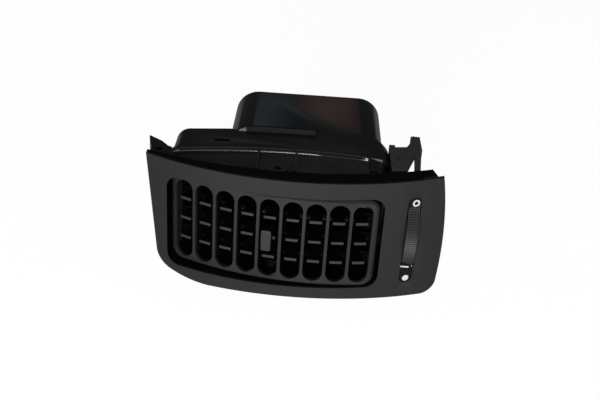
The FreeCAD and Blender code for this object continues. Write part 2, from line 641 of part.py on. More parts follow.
def make_blade_knob():
    """The ribbed pusher that is pressed on the middle finger of the middle blade."""
    x0 = KNOB_OFFSET - KNOB_WIDTH / 2.0
    x1 = KNOB_OFFSET + KNOB_WIDTH / 2.0
    z0 = GRILLE_MID_Z - KNOB_HEIGHT / 2.0
    z1 = GRILLE_MID_Z + KNOB_HEIGHT / 2.0
    body = rounded_prism(x0, x1, z0, z1, KNOB_CORNER_R, -KNOB_PROUD, KNOB_BACK)
    front = [edge for edge in body.Edges
             if abs(edge.BoundBox.YMax + KNOB_PROUD) < 0.01]
    body = body.makeChamfer(KNOB_EDGE_CHAMFER, front)
    pitch = KNOB_WIDTH / (KNOB_RIBS + 1.0)
    half_groove = KNOB_GROOVE_WIDTH / 2.0
    grooves = []
    for index in range(KNOB_RIBS):
        x = x0 + pitch * (index + 1)
        grooves.append(box(x - half_groove, x + half_groove, -KNOB_PROUD - 1,
                           -KNOB_PROUD + KNOB_GROOVE_DEPTH, z0 + KNOB_CORNER_R, z1 - KNOB_CORNER_R))
    half_seat = BLADE_THICKNESS / 2.0 + KNOB_SEAT_SLACK
    seat = box(x0 - 1, x1 + 1, FINGER_TIP_DEPTH - KNOB_SEAT_SLACK, KNOB_BACK + 1,
               GRILLE_MID_Z - half_seat, GRILLE_MID_Z + half_seat)
    return body.cut(grooves + [seat])


# Front housing

def lip_cylinder(radius):
    return Part.makeCylinder(radius, 3 * PANEL_TOP, Vector(LIP_APEX_X, LIP_APEX_Y - LIP_R, -PANEL_TOP),
                             Z_AXIS)


def panel_catch(x, width, top):
    """A small hook that snaps behind the panel's skirt and keeps the panel on."""
    if top:
        z0 = FRONT_TOP_Z - HOUSING_WALL / 2.0
        z1 = PANEL_TOP - SKIRT_WALL / 2.0
    else:
        z0 = BOTTOM_SAG - SKIRT_WALL / 2.0
        z1 = FRONT_BOTTOM_Z + HOUSING_WALL / 2.0
    block = box(x - width / 2.0, x + width / 2.0, 0, PANEL_R, z0, z1)
    return block.common(skirt_cylinder(CATCH_GAP)).cut(skirt_cylinder(CATCH_GAP + CATCH_DEPTH))


def housing_prism(inset):
    """The front housing's round-cornered section, drawn in by an inset and run straight back."""
    section = rounded_prism(HOUSING_LEFT + inset, HOUSING_RIGHT - inset, FRONT_BOTTOM_Z + inset,
                            FRONT_TOP_Z - inset, HOUSING_CORNER_R - inset, -inset,
                            LIP_APEX_Y + 2 * LIP_OVERLAP)
    return section.common(panel_prism(SKIRT_WALL + HOUSING_FIT + inset))


def make_front_housing():
    tube = housing_prism(0).cut(housing_prism(HOUSING_WALL))
    tube = tube.common(panel_cylinder(HOUSING_FRONT_R)).common(lip_cylinder(LIP_R + LIP_OVERLAP))
    sleeve_r = PIVOT_BOSS_R + PIVOT_SLEEVE_WALL
    upper_sleeve = rod_z(sleeve_r, GRILLE_TOP_Z + MOVING_GAP, FRONT_TOP_Z + SLEEVE_PROUD,
                         PIVOT_X, PIVOT_Y)
    lower_sleeve = rod_z(sleeve_r, FRONT_BOTTOM_Z, WASHER_BOTTOM_Z, PIVOT_X, PIVOT_Y)
    ribs = []
    for offset in TOP_RIB_PLACES:
        x = PIVOT_X + offset
        rib = box(x - TOP_RIB_WIDTH / 2.0, x + TOP_RIB_WIDTH / 2.0, SKIRT_DEPTH + TOP_RIB_START,
                  LIP_APEX_Y, FRONT_TOP_Z - HOUSING_WALL / 2.0, FRONT_TOP_Z + TOP_RIB_HEIGHT)
        ribs.append(rib.common(lip_cylinder(LIP_R - HOUSING_FIT)))
    catches = []
    for top in (True, False):
        catches.append(panel_catch(HOUSING_LEFT + CATCH_LEFT_IN, CATCH_LEFT_WIDTH, top))
        catches.append(panel_catch(HOUSING_RIGHT - CATCH_RIGHT_IN, CATCH_RIGHT_WIDTH, top))
    housing = fuse_all([tube, upper_sleeve, lower_sleeve] + ribs + catches)
    pivot_hole = rod_z(PIVOT_PIN_R + RUNNING_CLEARANCE, 0, 2 * PANEL_TOP, PIVOT_X, PIVOT_Y)
    screw_y, screw_z = ear_screw_place()
    screw_hole = rod_x(SCREW_HOLE_R, HOUSING_LEFT - 1, HOUSING_LEFT + 2 * HOUSING_WALL, screw_y, screw_z)
    return housing.cut([pivot_hole, screw_hole])


def make_friction_washer():
    """A soft ring under the grille that holds it where it is turned."""
    ring = rod_z(PIVOT_BOSS_R + WASHER_RIM, WASHER_BOTTOM_Z, WASHER_BOTTOM_Z + WASHER_THICKNESS,
                 PIVOT_X, PIVOT_Y)
    return ring.cut(rod_z(PIVOT_PIN_R + LINK_HOLE_CLEARANCE, 0, GRILLE_TOP_Z, PIVOT_X, PIVOT_Y))


# Mounting ear on the left wall of the front housing

def ear_corner():
    """The top left corner of the panel's skirt, which the ear's outline is measured from."""
    return (PANEL_TOP_LEFT, skirt_rear_y(PANEL_TOP_LEFT))


def ear_outline():
    corner_x, corner_y = ear_corner()
    return [(corner_x + x, corner_y + y) for x, y in EAR_OUTLINE]


def ear_screw_place():
    """Where the ear's foot is screwed to the housing wall, between the skirt and the lip."""
    return (LIP_STRIP_Y + LIP_STRIP / 2.0, FRONT_TOP_Z - HOUSING_CORNER_R - EAR_FOOT_DEPTH / 2.0)


def make_mounting_ear():
    """The pointed ear beside the vent, with a stiffening web and a foot on the housing wall."""
    corner_x, corner_y = ear_corner()
    root_x = HOUSING_LEFT + HOUSING_CORNER_R
    points = ear_outline()
    front_left = (points[0][0] + EAR_CORNER_IN, corner_y + EAR_FRONT_GAP)
    front_right = (root_x, skirt_rear_y(root_x) + EAR_FRONT_GAP)
    root_back = (root_x, points[-1][1])
    plate = plan_prism([front_right, front_left] + points + [root_back], FRONT_TOP_Z - EAR_THICKNESS,
                       FRONT_TOP_Z)
    tip = points[1]
    web_points = [front_left, points[0], tip, (tip[0] + EAR_WEB_WIDTH, tip[1] - EAR_WEB_WIDTH / 2.0),
                  (points[0][0] + EAR_WEB_WIDTH, points[0][1]),
                  (front_left[0] + EAR_WEB_WIDTH, front_left[1])]
    web = plan_prism(web_points, FRONT_TOP_Z - EAR_WEB_DEPTH, FRONT_TOP_Z)
    cross_web = box(front_left[0], root_x, front_left[1], front_left[1] + EAR_THICKNESS,
                    FRONT_TOP_Z - EAR_WEB_DEPTH, FRONT_TOP_Z)
    screw_y, screw_z = ear_screw_place()
    foot_half = SCREW_HEAD_R + EAR_FOOT_RIM
    foot = box(HOUSING_LEFT - EAR_THICKNESS, HOUSING_LEFT, screw_y - foot_half, screw_y + foot_half,
               FRONT_TOP_Z - HOUSING_CORNER_R - EAR_FOOT_DEPTH, FRONT_TOP_Z - EAR_WEB_DEPTH + 1)
    ear = fuse_all([plate, web, cross_web, foot])
    hole_x = corner_x + EAR_HOLE_PLACE[0]
    hole_y = corner_y + EAR_HOLE_PLACE[1]
    hole = rod_z(EAR_HOLE_R, 0, 2 * PANEL_TOP, hole_x, hole_y)
    screw_hole = rod_x(SCREW_HOLE_R, PANEL_TOP_LEFT, HOUSING_LEFT + 1, screw_y, screw_z)
    return ear.cut([housing_prism(0), rear_envelope(CATCH_GAP), hole, screw_hole])


def self_tapping_screw(x0, x1, seat, y, z):
    """A round-headed screw along X: its shank from x0 to x1, its head outside the seat it bears on."""
    shank = rod_x(SCREW_R, x0, x1, y, z)
    if seat == x0:
        head = rod_x(SCREW_HEAD_R, seat - SCREW_HEAD_HEIGHT, seat, y, z)
    else:
        head = rod_x(SCREW_HEAD_R, seat, seat + SCREW_HEAD_HEIGHT, y, z)
    return shank.fuse(head).removeSplitter()


def make_ear_screw():
    """The screw through the ear's foot into the wall of the front housing."""
    screw_y, screw_z = ear_screw_place()
    seat = HOUSING_LEFT - EAR_THICKNESS
    return self_tapping_screw(seat, HOUSING_LEFT + HOUSING_WALL, seat, screw_y, screw_z)


# Rear housing

def rear_plan(inset):
    """The rear box in plan: wide at the lip, a shoulder on the left, cut off on the right."""
    left = REAR_LEFT + inset
    right = HOUSING_RIGHT - inset
    radius = SHOULDER_CORNER_R - inset
    front = 0.0
    back_left = SHOULDER_LEFT_Y - inset
    back_mid = SHOULDER_COLLAR_Y - inset
    mid = COLLAR_WIDTH / 2.0
    corner = radius * (1.0 - math.sqrt(0.5))
    first = Vector(left, back_left - radius, 0)
    middle = Vector(left + corner, back_left - corner, 0)
    last = Vector(left + radius, back_left, 0)
    points = [last, Vector(-mid, back_mid, 0), Vector(mid - SHOULDER_RIGHT_IN, back_mid, 0),
              Vector(right, SHOULDER_RIGHT_Y - inset, 0), Vector(right, front, 0),
              Vector(left, front, 0), first]
    edges = [Part.Arc(first, middle, last).toShape()]
    for start, end in zip(points[:-1], points[1:]):
        edges.append(Part.LineSegment(start, end).toShape())
    return Part.Face(Part.Wire(Part.__sortEdges__(edges)))


def collar_prism(inset, y0, y1):
    half = COLLAR_WIDTH / 2.0 - inset
    return rounded_prism(-half, half, COLLAR_BOTTOM_Z + inset, COLLAR_TOP_Z - inset,
                         COLLAR_CORNER_R - inset, y0, y1)


def lip_prism(grow):
    """The outside of the lip that laps over the front housing, run straight back."""
    return rounded_prism(LIP_LEFT - grow, HOUSING_RIGHT + grow, -grow, REAR_TOP_Z + grow,
                         LIP_CORNER_R + grow, 0, LIP_APEX_Y + 2 * LIP_OVERLAP)


def rear_envelope(grow):
    """The space the rear housing takes up beside the ear, with a small gap round it."""
    block = rear_plan(-grow).extrude(Vector(0, 0, REAR_TOP_Z + grow))
    return block.fuse(lip_prism(grow)).cut(lip_cylinder(LIP_R - grow))


def rear_body(inset):
    """The rear box with all its long edges rounded, drawn in by a wall thickness."""
    body = rear_plan(inset).extrude(Vector(0, 0, REAR_TOP_Z - 2 * inset))
    body.translate(Vector(0, 0, inset))
    level = [edge for edge in body.Edges
             if edge.BoundBox.ZLength < 0.01
             and (edge.BoundBox.YMin > 0.5 or edge.BoundBox.XLength < 0.01)]
    return body.makeFillet(REAR_EDGE_FILLET - inset, level)


def lip_edge_cuts():
    """Two sloping cuts that round off the front of the lip along its top, up to the corner tab."""
    centre = Vector(LIP_APEX_X, LIP_APEX_Y - LIP_R, REAR_TOP_Z - LIP_EDGE)
    steep = Part.makeCone(LIP_R, LIP_R + LIP_EDGE, 2 * LIP_EDGE, centre, Z_AXIS)
    flat = Part.makeCone(LIP_R - LIP_EDGE, LIP_R + 2 * LIP_EDGE, 1.5 * LIP_EDGE, centre, Z_AXIS)
    stretch = box(LIP_LEFT, HOUSING_RIGHT - LIP_TAB_WIDTH, 0, COLLAR_FRONT_Y, REAR_TOP_Z - LIP_EDGE,
                  REAR_TOP_Z + 1)
    return [steep.common(stretch), flat.common(stretch)]


def lip_corner_tab():
    """The lip's top right corner, which runs forward over the front housing to near the skirt."""
    tab = lip_prism(0).common(skirt_cylinder(LIP_TAB_GAP))
    return tab.common(box(HOUSING_RIGHT - LIP_TAB_WIDTH, HOUSING_RIGHT, 0, LIP_APEX_Y,
                          REAR_TOP_Z - LIP_TAB_HEIGHT, REAR_TOP_Z))


def collar_ramp():
    """The slope that carries the top of the rear box up to the higher collar on the right."""
    ridge_y = COLLAR_FRONT_Y + COLLAR_WALL
    floor_z = REAR_TOP_Z - HOUSING_WALL
    points = [(COLLAR_FRONT_Y - RAMP_LENGTH, REAR_TOP_Z), (COLLAR_FRONT_Y, COLLAR_TOP_Z),
              (ridge_y, COLLAR_TOP_Z), (ridge_y, floor_z), (COLLAR_FRONT_Y - RAMP_LENGTH, floor_z)]
    wedge = side_prism(points, COLLAR_WIDTH / 2.0 - RAMP_WIDTH, COLLAR_WIDTH / 2.0)
    return wedge.common(collar_prism(0, 0, COLLAR_END_Y))


def make_rear_housing():
    lip = lip_prism(0).common(lip_cylinder(LIP_R + LIP_OVERLAP + 2 * LIP_STEP))
    body = rear_body(0).fuse([collar_prism(0, COLLAR_FRONT_Y, COLLAR_END_Y), lip])
    body = body.cut([lip_cylinder(LIP_R)] + lip_edge_cuts())
    body = body.fuse([lip_corner_tab(), collar_ramp()])
    chamber = rear_body(HOUSING_WALL).cut(lip_cylinder(LIP_R + LIP_OVERLAP + LIP_STEP - 0.01))
    passage = housing_prism(HOUSING_WALL).common(lip_cylinder(LIP_R + LIP_OVERLAP + LIP_STEP))
    bore = collar_prism(COLLAR_WALL, COLLAR_FRONT_Y + COLLAR_WALL, COLLAR_END_Y + 1)
    socket = housing_prism(-HOUSING_FIT).common(lip_cylinder(LIP_R + LIP_OVERLAP + HOUSING_FIT))
    bearings = []
    for side in (-1, 1):
        x0 = side * (COLLAR_WIDTH / 2.0 - 1)
        x1 = side * (COLLAR_WIDTH / 2.0 + BEARING_PROUD)
        bearings.append(rod_x(BEARING_R, min(x0, x1), max(x0, x1), DAMPER_Y, COLLAR_MID_Z))
    window_x = REAR_LEFT + WINDOW_FROM_LEFT
    window_y = LIP_APEX_Y + WINDOW_BEHIND_LIP
    window = box(window_x, window_x + WINDOW_WIDTH, window_y, window_y + WINDOW_LENGTH,
                 REAR_TOP_Z - REAR_EDGE_FILLET, REAR_TOP_Z + 1)
    shaft_hole = rod_x(SHAFT_R + RUNNING_CLEARANCE, -COLLAR_WIDTH, COLLAR_WIDTH, DAMPER_Y, COLLAR_MID_Z)
    screw_holes = [rod_x(SCREW_HOLE_R, BRACKET_LEFT - HOUSING_WALL - 1, BRACKET_LEFT + 1, y, z)
                   for y, z in bracket_screw_places()]
    housing = body.fuse(bearings)
    hollows = [chamber, passage, bore, socket, window, shaft_hole]
    return housing.cut(hollows + screw_holes).removeSplitter()


# Thumbwheel and bracket

def wheel_point(radius, degrees):
    angle = math.radians(degrees)
    return (WHEEL_Y + radius * math.cos(angle), WHEEL_Z + radius * math.sin(angle))


def make_thumbwheel():
    """A sector with a finely ribbed rim, a thin web, a hub and the crank pin of the control rod."""
    first = 180.0 - WHEEL_TRAVEL / 2.0 - WHEEL_SPARE_ANGLE
    last = 180.0 + 1.5 * WHEEL_TRAVEL + WHEEL_SPARE_ANGLE
    count = int((last - first) / WHEEL_RIB_ANGLE)
    step = (last - first) / count
    corners = [(WHEEL_Y, WHEEL_Z)]
    for index in range(count):
        for share, depth in ((0.0, 0.0), (0.5, WHEEL_RIB_DEPTH)):
            corners.append(wheel_point(WHEEL_R - depth, first + step * (index + share)))
    corners.append(wheel_point(WHEEL_R, last))
    sector = side_prism(corners, WHEEL_LEFT_X, WHEEL_RIGHT_X)
    web_left = WHEEL_X - WHEEL_WEB / 2.0
    web_right = WHEEL_X + WHEEL_WEB / 2.0
    hollow_left = rod_x(WHEEL_R - WHEEL_RIM, WHEEL_LEFT_X - 1, web_left, WHEEL_Y, WHEEL_Z)
    hollow_right = rod_x(WHEEL_R - WHEEL_RIM, web_right, WHEEL_RIGHT_X + 1, WHEEL_Y, WHEEL_Z)
    sector = sector.cut([hollow_left, hollow_right])
    plate = rod_x(WHEEL_PLATE_R, web_left, web_right, WHEEL_Y, WHEEL_Z)
    hub = rod_x(WHEEL_HUB_R, BRACKET_LEFT + BRACKET_BASE + MOVING_GAP, WHEEL_RIGHT_X, WHEEL_Y, WHEEL_Z)
    pin_y = WHEEL_Y + CRANK_DY
    pin_z = WHEEL_Z + CRANK_DZ
    pin_boss = rod_x(CRANK_PIN_R + CRANK_BOSS_WALL, WHEEL_LEFT_X, WHEEL_X, pin_y, pin_z)
    pin = rod_x(CRANK_PIN_R, ROD_LEFT_X - CLIP_THICKNESS - WHEEL_PIN_END, WHEEL_X, pin_y, pin_z)
    wheel = fuse_all([sector, plate, hub, pin_boss, pin])
    return wheel.cut(rod_x(AXLE_R + RUNNING_CLEARANCE, 0, 2 * WHEEL_X, WHEEL_Y, WHEEL_Z))


def make_wheel_axle():
    """A steel pin pressed into the bracket, with a head on the outer side."""
    seat = CHEEK_X + BRACKET_CHEEK
    shank = rod_x(AXLE_R, BRACKET_LEFT + AXLE_SEAT_GAP, seat, WHEEL_Y, WHEEL_Z)
    head = rod_x(AXLE_R + AXLE_HEAD_RIM, seat, seat + AXLE_HEAD_HEIGHT, WHEEL_Y, WHEEL_Z)
    return shank.fuse(head).removeSplitter()


def bracket_screw_places():
    return [(WHEEL_Y + SCREW_BACK, WHEEL_Z + side * SCREW_SPREAD) for side in (1, -1)]


def make_wheel_bracket():
    """The side bracket: a base on the housing, a pointed top plate and the arm outside the wheel."""
    cheek_right = CHEEK_X + BRACKET_CHEEK
    base_right = BRACKET_LEFT + BRACKET_BASE
    base_points = [(BRACKET_FRONT_Y, WHEEL_Z - BRACKET_HALF_HEIGHT),
                   (SHOULDER_RIGHT_Y, WHEEL_Z - BRACKET_HALF_HEIGHT),
                   (SHOULDER_RIGHT_Y, REAR_TOP_Z), (BRACKET_FRONT_Y, REAR_TOP_Z)]
    base = side_prism(base_points, BRACKET_LEFT, base_right)
    skirt_y = skirt_rear_y(WHEEL_X)
    outline = [(WHEEL_X + x, skirt_y + y) for x, y in BRACKET_PLAN]
    plate_points = [(BRACKET_LEFT, outline[0][1])] + outline + [(BRACKET_LEFT, outline[-1][1])]
    plate = plan_prism(plate_points, REAR_TOP_Z - BRACKET_PLATE, REAR_TOP_Z)
    arm_points = [(ARM_FRONT_Y, REAR_TOP_Z), (ARM_REACH_Y, REAR_TOP_Z),
                  (ARM_REACH_Y, REAR_TOP_Z - ARM_END_HEIGHT),
                  (WHEEL_Y + WHEEL_PLATE_R, WHEEL_Z + ARM_BRACE_RISE),
                  (WHEEL_Y + ARM_NECK_HALF, WHEEL_Z - ARM_NECK_HALF),
                  (WHEEL_Y - ARM_NECK_HALF, WHEEL_Z - ARM_NECK_HALF),
                  (WHEEL_Y - ARM_NECK_HALF, WHEEL_Z + ARM_NECK_HALF),
                  (ARM_FRONT_Y, REAR_TOP_Z - ARM_END_HEIGHT / 2.0)]
    arm = side_prism(arm_points, CHEEK_X, cheek_right)
    foot = box(CHEEK_X - FOOT_LENGTH, CHEEK_X + 1, ARM_REACH_Y - BRACKET_PLATE, ARM_REACH_Y,
               REAR_TOP_Z - FOOT_HEIGHT, REAR_TOP_Z)
    bracket = fuse_all([base, plate, arm, foot])
    axle_hole = rod_x(AXLE_R + PRESS_CLEARANCE, 0, 2 * WHEEL_X, WHEEL_Y, WHEEL_Z)
    arm_hole = rod_x(ARM_HOLE_R, CHEEK_X - 1, cheek_right + 1, ARM_REACH_Y - ARM_HOLE_FROM_END,
                     REAR_TOP_Z - ARM_HOLE_DROP)
    screw_holes = [rod_x(SCREW_HOLE_R, 0, base_right + 1, y, z) for y, z in bracket_screw_places()]
    return bracket.cut([axle_hole, arm_hole] + screw_holes)


def make_bracket_screws():
    """Two self-tapping screws that hold the bracket on the housing wall."""
    seat = BRACKET_LEFT + BRACKET_BASE
    screws = [self_tapping_screw(BRACKET_LEFT - HOUSING_WALL - SCREW_END, seat, seat, y, z)
              for y, z in bracket_screw_places()]
    return Part.makeCompound(screws)


# Control rod and damper

def retaining_clip(x, y, z):
    ring = rod_x(CLIP_R, x - CLIP_THICKNESS, x, y, z)
    return ring.cut(rod_x(CRANK_PIN_R + PRESS_CLEARANCE, x - 2, x + 1, y, z))


def make_control_rod():
    y0 = WHEEL_Y + CRANK_DY
    z0 = WHEEL_Z + CRANK_DZ
    length = math.hypot(ROD_SPAN_Y, ROD_SPAN_Z)
    half = ROD_WIDTH / 2.0
    bar = box(ROD_LEFT_X, ROD_RIGHT_X, y0, y0 + length, z0 - half, z0 + half)
    ends = [rod_x(half, ROD_LEFT_X, ROD_RIGHT_X, y, z0) for y in (y0, y0 + length)]
    rod = fuse_all([bar] + ends)
    near_hole = rod_x(CRANK_PIN_R + RUNNING_CLEARANCE, 0, 2 * WHEEL_X, y0, z0)
    far_hole = rod_x(CRANK_PIN_R + LINK_HOLE_CLEARANCE, 0, 2 * WHEEL_X, y0 + length, z0)
    rod = rod.cut([near_hole, far_hole])
    rod.rotate(Vector(0, y0, z0), X_AXIS, ROD_SPAN_ANGLE)
    return rod


def flap_prism(inset, thickness):
    """The collar's bore, drawn in by a gap and cut to a slab that leans as the shut flap does."""
    reach = COLLAR_END_Y
    slab = box(-reach, reach, DAMPER_Y - thickness / 2.0, DAMPER_Y + thickness / 2.0,
               COLLAR_MID_Z - reach, COLLAR_MID_Z + reach)
    slab.rotate(Vector(0, DAMPER_Y, COLLAR_MID_Z), X_AXIS, WHEEL_TRAVEL - 90.0)
    return collar_prism(COLLAR_WALL + SEAL_GAP + inset, COLLAR_FRONT_Y, COLLAR_END_Y).common(slab)


def make_damper_flap():
    """The flap that shuts the collar, with a tube across its middle for the shaft."""
    plate = flap_prism(SEAL_WIDTH, FLAP_THICKNESS)
    half = COLLAR_WIDTH / 2.0 - COLLAR_WALL - MOVING_GAP
    tube = rod_x(FLAP_TUBE_R, -half, half, DAMPER_Y, COLLAR_MID_Z)
    bore = rod_x(SHAFT_R + PRESS_CLEARANCE, -half - 1, half + 1, DAMPER_Y, COLLAR_MID_Z)
    return fuse_all([plate, tube]).cut(bore)


def make_damper_seal():
    """A soft lip round the edge of the flap."""
    ring = flap_prism(0, SEAL_THICKNESS).cut(flap_prism(SEAL_WIDTH, 2 * FLAP_THICKNESS))
    gap = rod_x(FLAP_TUBE_R, -COLLAR_WIDTH, COLLAR_WIDTH, DAMPER_Y, COLLAR_MID_Z)
    return ring.cut(gap)


def make_damper_shaft():
    left = -(COLLAR_WIDTH / 2.0 + BEARING_PROUD)
    return rod_x(SHAFT_R, left, LEVER_RIGHT_X, DAMPER_Y, COLLAR_MID_Z)


def make_damper_lever():
    """The crank on the end of the shaft, parallel to the thumbwheel's own crank."""
    pin_y = DAMPER_Y + CRANK_DY
    pin_z = COLLAR_MID_Z + CRANK_DZ
    hub_left = COLLAR_WIDTH / 2.0 + BEARING_PROUD + MOVING_GAP
    hub = rod_x(LEVER_HUB_R, hub_left, LEVER_RIGHT_X, DAMPER_Y, COLLAR_MID_Z)
    eye = rod_x(LEVER_EYE_R, LEVER_LEFT_X, LEVER_RIGHT_X, pin_y, pin_z)
    angle = math.degrees(CRANK_ANGLE)
    web = box(LEVER_LEFT_X, LEVER_RIGHT_X, DAMPER_Y, DAMPER_Y + CRANK_R,
              COLLAR_MID_Z - LEVER_WEB_HALF, COLLAR_MID_Z + LEVER_WEB_HALF)
    web.rotate(Vector(0, DAMPER_Y, COLLAR_MID_Z), X_AXIS, angle)
    pin = rod_x(CRANK_PIN_R, LEVER_LEFT_X, ROD_RIGHT_X + CLIP_THICKNESS + LEVER_PIN_END, pin_y, pin_z)
    lever = fuse_all([hub, eye, web, pin])
    return lever.cut(rod_x(SHAFT_R + PRESS_CLEARANCE, 0, LEVER_RIGHT_X + 1, DAMPER_Y, COLLAR_MID_Z))


def make_lever_screw():
    """A flat-headed screw with a slot, on the end of the damper's shaft."""
    top = LEVER_RIGHT_X + LEVER_SCREW_HEIGHT
    head = rod_x(LEVER_SCREW_R, LEVER_RIGHT_X, top, DAMPER_Y, COLLAR_MID_Z)
    slot = box(top - SCREW_SLOT_DEPTH, top + 1, DAMPER_Y - SCREW_SLOT_HALF, DAMPER_Y + SCREW_SLOT_HALF,
               COLLAR_MID_Z - SCREW_SLOT_REACH, COLLAR_MID_Z + SCREW_SLOT_REACH)
    return head.cut(slot)


# Every piece is moved so that the origin is under the middle of the whole vent, then written

LEFT_REACH = min(x for x, y in ear_outline())
ORIGIN_SHIFT = Vector(-(LEFT_REACH + PANEL_RIGHT) / 2.0, -COLLAR_END_Y / 2.0, 0)


def main():
    heights = blade_heights()
    pieces = {
        "face_panel": make_face_panel(),
        "front_housing": make_front_housing(),
        "mounting_ear": make_mounting_ear(),
        "ear_screw": make_ear_screw(),
        "rear_housing": make_rear_housing(),
        "friction_washer": make_friction_washer(),
        "grille_frame": to_rest(make_grille_frame()),
        "grille_pivot_pins": to_rest(make_pivot_pins()),
        "left_blade_carrier": to_rest(make_blade_carrier(-1)),
        "right_blade_carrier": to_rest(make_blade_carrier(1)),
        "lower_blade": to_rest(make_blade(heights[0])),
        "middle_blade": to_rest(make_blade(heights[1])),
        "upper_blade": to_rest(make_blade(heights[2])),
        "blade_link": to_rest(make_blade_link()),
        "blade_knob": to_rest(make_blade_knob()),
        "thumbwheel": make_thumbwheel(),
        "wheel_axle": make_wheel_axle(),
        "wheel_bracket": make_wheel_bracket(),
        "bracket_screws": make_bracket_screws(),
        "control_rod": make_control_rod(),
        "wheel_rod_clip": retaining_clip(ROD_LEFT_X - CLIP_PLAY, WHEEL_Y + CRANK_DY, WHEEL_Z + CRANK_DZ),
        "lever_rod_clip": retaining_clip(ROD_RIGHT_X + CLIP_PLAY + CLIP_THICKNESS, DAMPER_Y + CRANK_DY,
                                         COLLAR_MID_Z + CRANK_DZ),
        "damper_flap": make_damper_flap(),
        "damper_seal": make_damper_seal(),
        "damper_shaft": make_damper_shaft(),
        "damper_lever": make_damper_lever(),
        "lever_screw": make_lever_screw(),
    }
    os.makedirs("parts", exist_ok=True)
    for name, shape in pieces.items():
        shape.translate(ORIGIN_SHIFT)
        shape.exportStep("parts/" + name + ".step")


main()
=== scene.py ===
import json
import math

import bmesh
import bpy
from mathutils import Matrix, Vector

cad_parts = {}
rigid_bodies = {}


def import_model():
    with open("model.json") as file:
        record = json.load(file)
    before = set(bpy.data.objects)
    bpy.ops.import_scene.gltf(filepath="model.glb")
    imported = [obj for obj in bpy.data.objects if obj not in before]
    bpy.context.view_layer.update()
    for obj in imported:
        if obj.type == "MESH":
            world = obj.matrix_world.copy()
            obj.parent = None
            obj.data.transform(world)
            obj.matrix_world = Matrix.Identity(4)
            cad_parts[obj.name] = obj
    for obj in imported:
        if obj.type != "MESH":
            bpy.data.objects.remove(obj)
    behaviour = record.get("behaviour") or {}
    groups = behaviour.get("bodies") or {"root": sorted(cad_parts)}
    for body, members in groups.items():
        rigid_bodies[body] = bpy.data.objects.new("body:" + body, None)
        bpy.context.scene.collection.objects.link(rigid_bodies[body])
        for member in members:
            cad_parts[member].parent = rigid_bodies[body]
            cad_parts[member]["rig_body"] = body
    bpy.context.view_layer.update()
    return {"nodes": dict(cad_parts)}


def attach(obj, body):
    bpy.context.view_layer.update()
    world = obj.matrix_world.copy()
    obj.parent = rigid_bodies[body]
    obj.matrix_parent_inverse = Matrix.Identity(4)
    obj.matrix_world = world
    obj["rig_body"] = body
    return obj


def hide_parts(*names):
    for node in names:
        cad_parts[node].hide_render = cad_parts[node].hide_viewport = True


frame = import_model()
nodes = frame["nodes"]


# Face panel: one bowed ABS moulding with a fine spark-eroded grain and softened outer edges. It
# snaps over hooks on the front housing. Little light gets behind its face, so painted shade takes the
# rim round the opening and the floor of the wheel's pocket towards black.
def moulded_plastic(name, colour, roughness, grain_size, grain_depth, patch=0.06, gleam=0.5):
    """Solid-coloured moulded plastic: a fine grain in the surface and broad, faint changes of sheen."""
    material = bpy.data.materials.new(name)
    material.use_nodes = True
    tree = material.node_tree
    surface = tree.nodes["Principled BSDF"]
    surface.inputs["Base Color"].default_value = (*colour, 1.0)
    surface.inputs["Specular IOR Level"].default_value = gleam
    place = tree.nodes.new("ShaderNodeTexCoord")
    grain = tree.nodes.new("ShaderNodeTexNoise")
    grain.inputs["Scale"].default_value = 1.0 / grain_size
    grain.inputs["Detail"].default_value = 3.0
    grain.inputs["Roughness"].default_value = 0.65
    relief = tree.nodes.new("ShaderNodeBump")
    relief.inputs["Strength"].default_value = 1.0
    relief.inputs["Distance"].default_value = grain_depth
    cloud = tree.nodes.new("ShaderNodeTexNoise")
    cloud.inputs["Scale"].default_value = 28.0
    cloud.inputs["Detail"].default_value = 4.0
    sheen = tree.nodes.new("ShaderNodeMapRange")
    sheen.inputs["From Min"].default_value = 0.3
    sheen.inputs["From Max"].default_value = 0.7
    sheen.inputs["To Min"].default_value = roughness - patch
    sheen.inputs["To Max"].default_value = roughness + patch
    tree.links.new(place.outputs["Object"], grain.inputs["Vector"])
    tree.links.new(place.outputs["Object"], cloud.inputs["Vector"])
    tree.links.new(grain.outputs["Fac"], relief.inputs["Height"])
    tree.links.new(relief.outputs["Normal"], surface.inputs["Normal"])
    tree.links.new(cloud.outputs["Fac"], sheen.inputs["Value"])
    tree.links.new(sheen.outputs["Result"], surface.inputs["Roughness"])
    return material


same_point = 2e-6
flat_turn = math.radians(0.5)
smooth_turn = math.radians(32)
round_turn = math.radians(40)


def rounded_copy(node, name, material, radius, segments=2):
    """The CAD piece with its loose triangles merged and its sharp edges rounded like a moulding's."""
    mesh = nodes[node].data.copy()
    work = bmesh.new()
    work.from_mesh(mesh)
    bmesh.ops.remove_doubles(work, verts=work.verts, dist=same_point)
    bmesh.ops.dissolve_limit(work, angle_limit=flat_turn, verts=work.verts, edges=work.edges)
    work.to_mesh(mesh)
    work.free()
    mesh.materials.clear()
    mesh.materials.append(material)
    mesh.polygons.foreach_set("use_smooth", [True] * len(mesh.polygons))
    mesh.set_sharp_from_angle(angle=smooth_turn)
    piece = bpy.data.objects.new(name, mesh)
    bpy.context.scene.collection.objects.link(piece)
    bevel = piece.modifiers.new("edge", "BEVEL")
    bevel.width = radius
    bevel.segments = segments
    bevel.limit_method = "ANGLE"
    bevel.angle_limit = round_turn
    bevel.harden_normals = True
    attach(piece, nodes[node]["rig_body"])
    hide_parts(node)
    return piece


def math_node(tree, operation, first, second):
    """One sum of two sockets or numbers in a shader."""
    node = tree.nodes.new("ShaderNodeMath")
    node.operation = operation
    for socket, value in zip(node.inputs, (first, second)):
        if isinstance(value, (int, float)):
            socket.default_value = value
        else:
            tree.links.new(value, socket)
    return node.outputs["Value"]


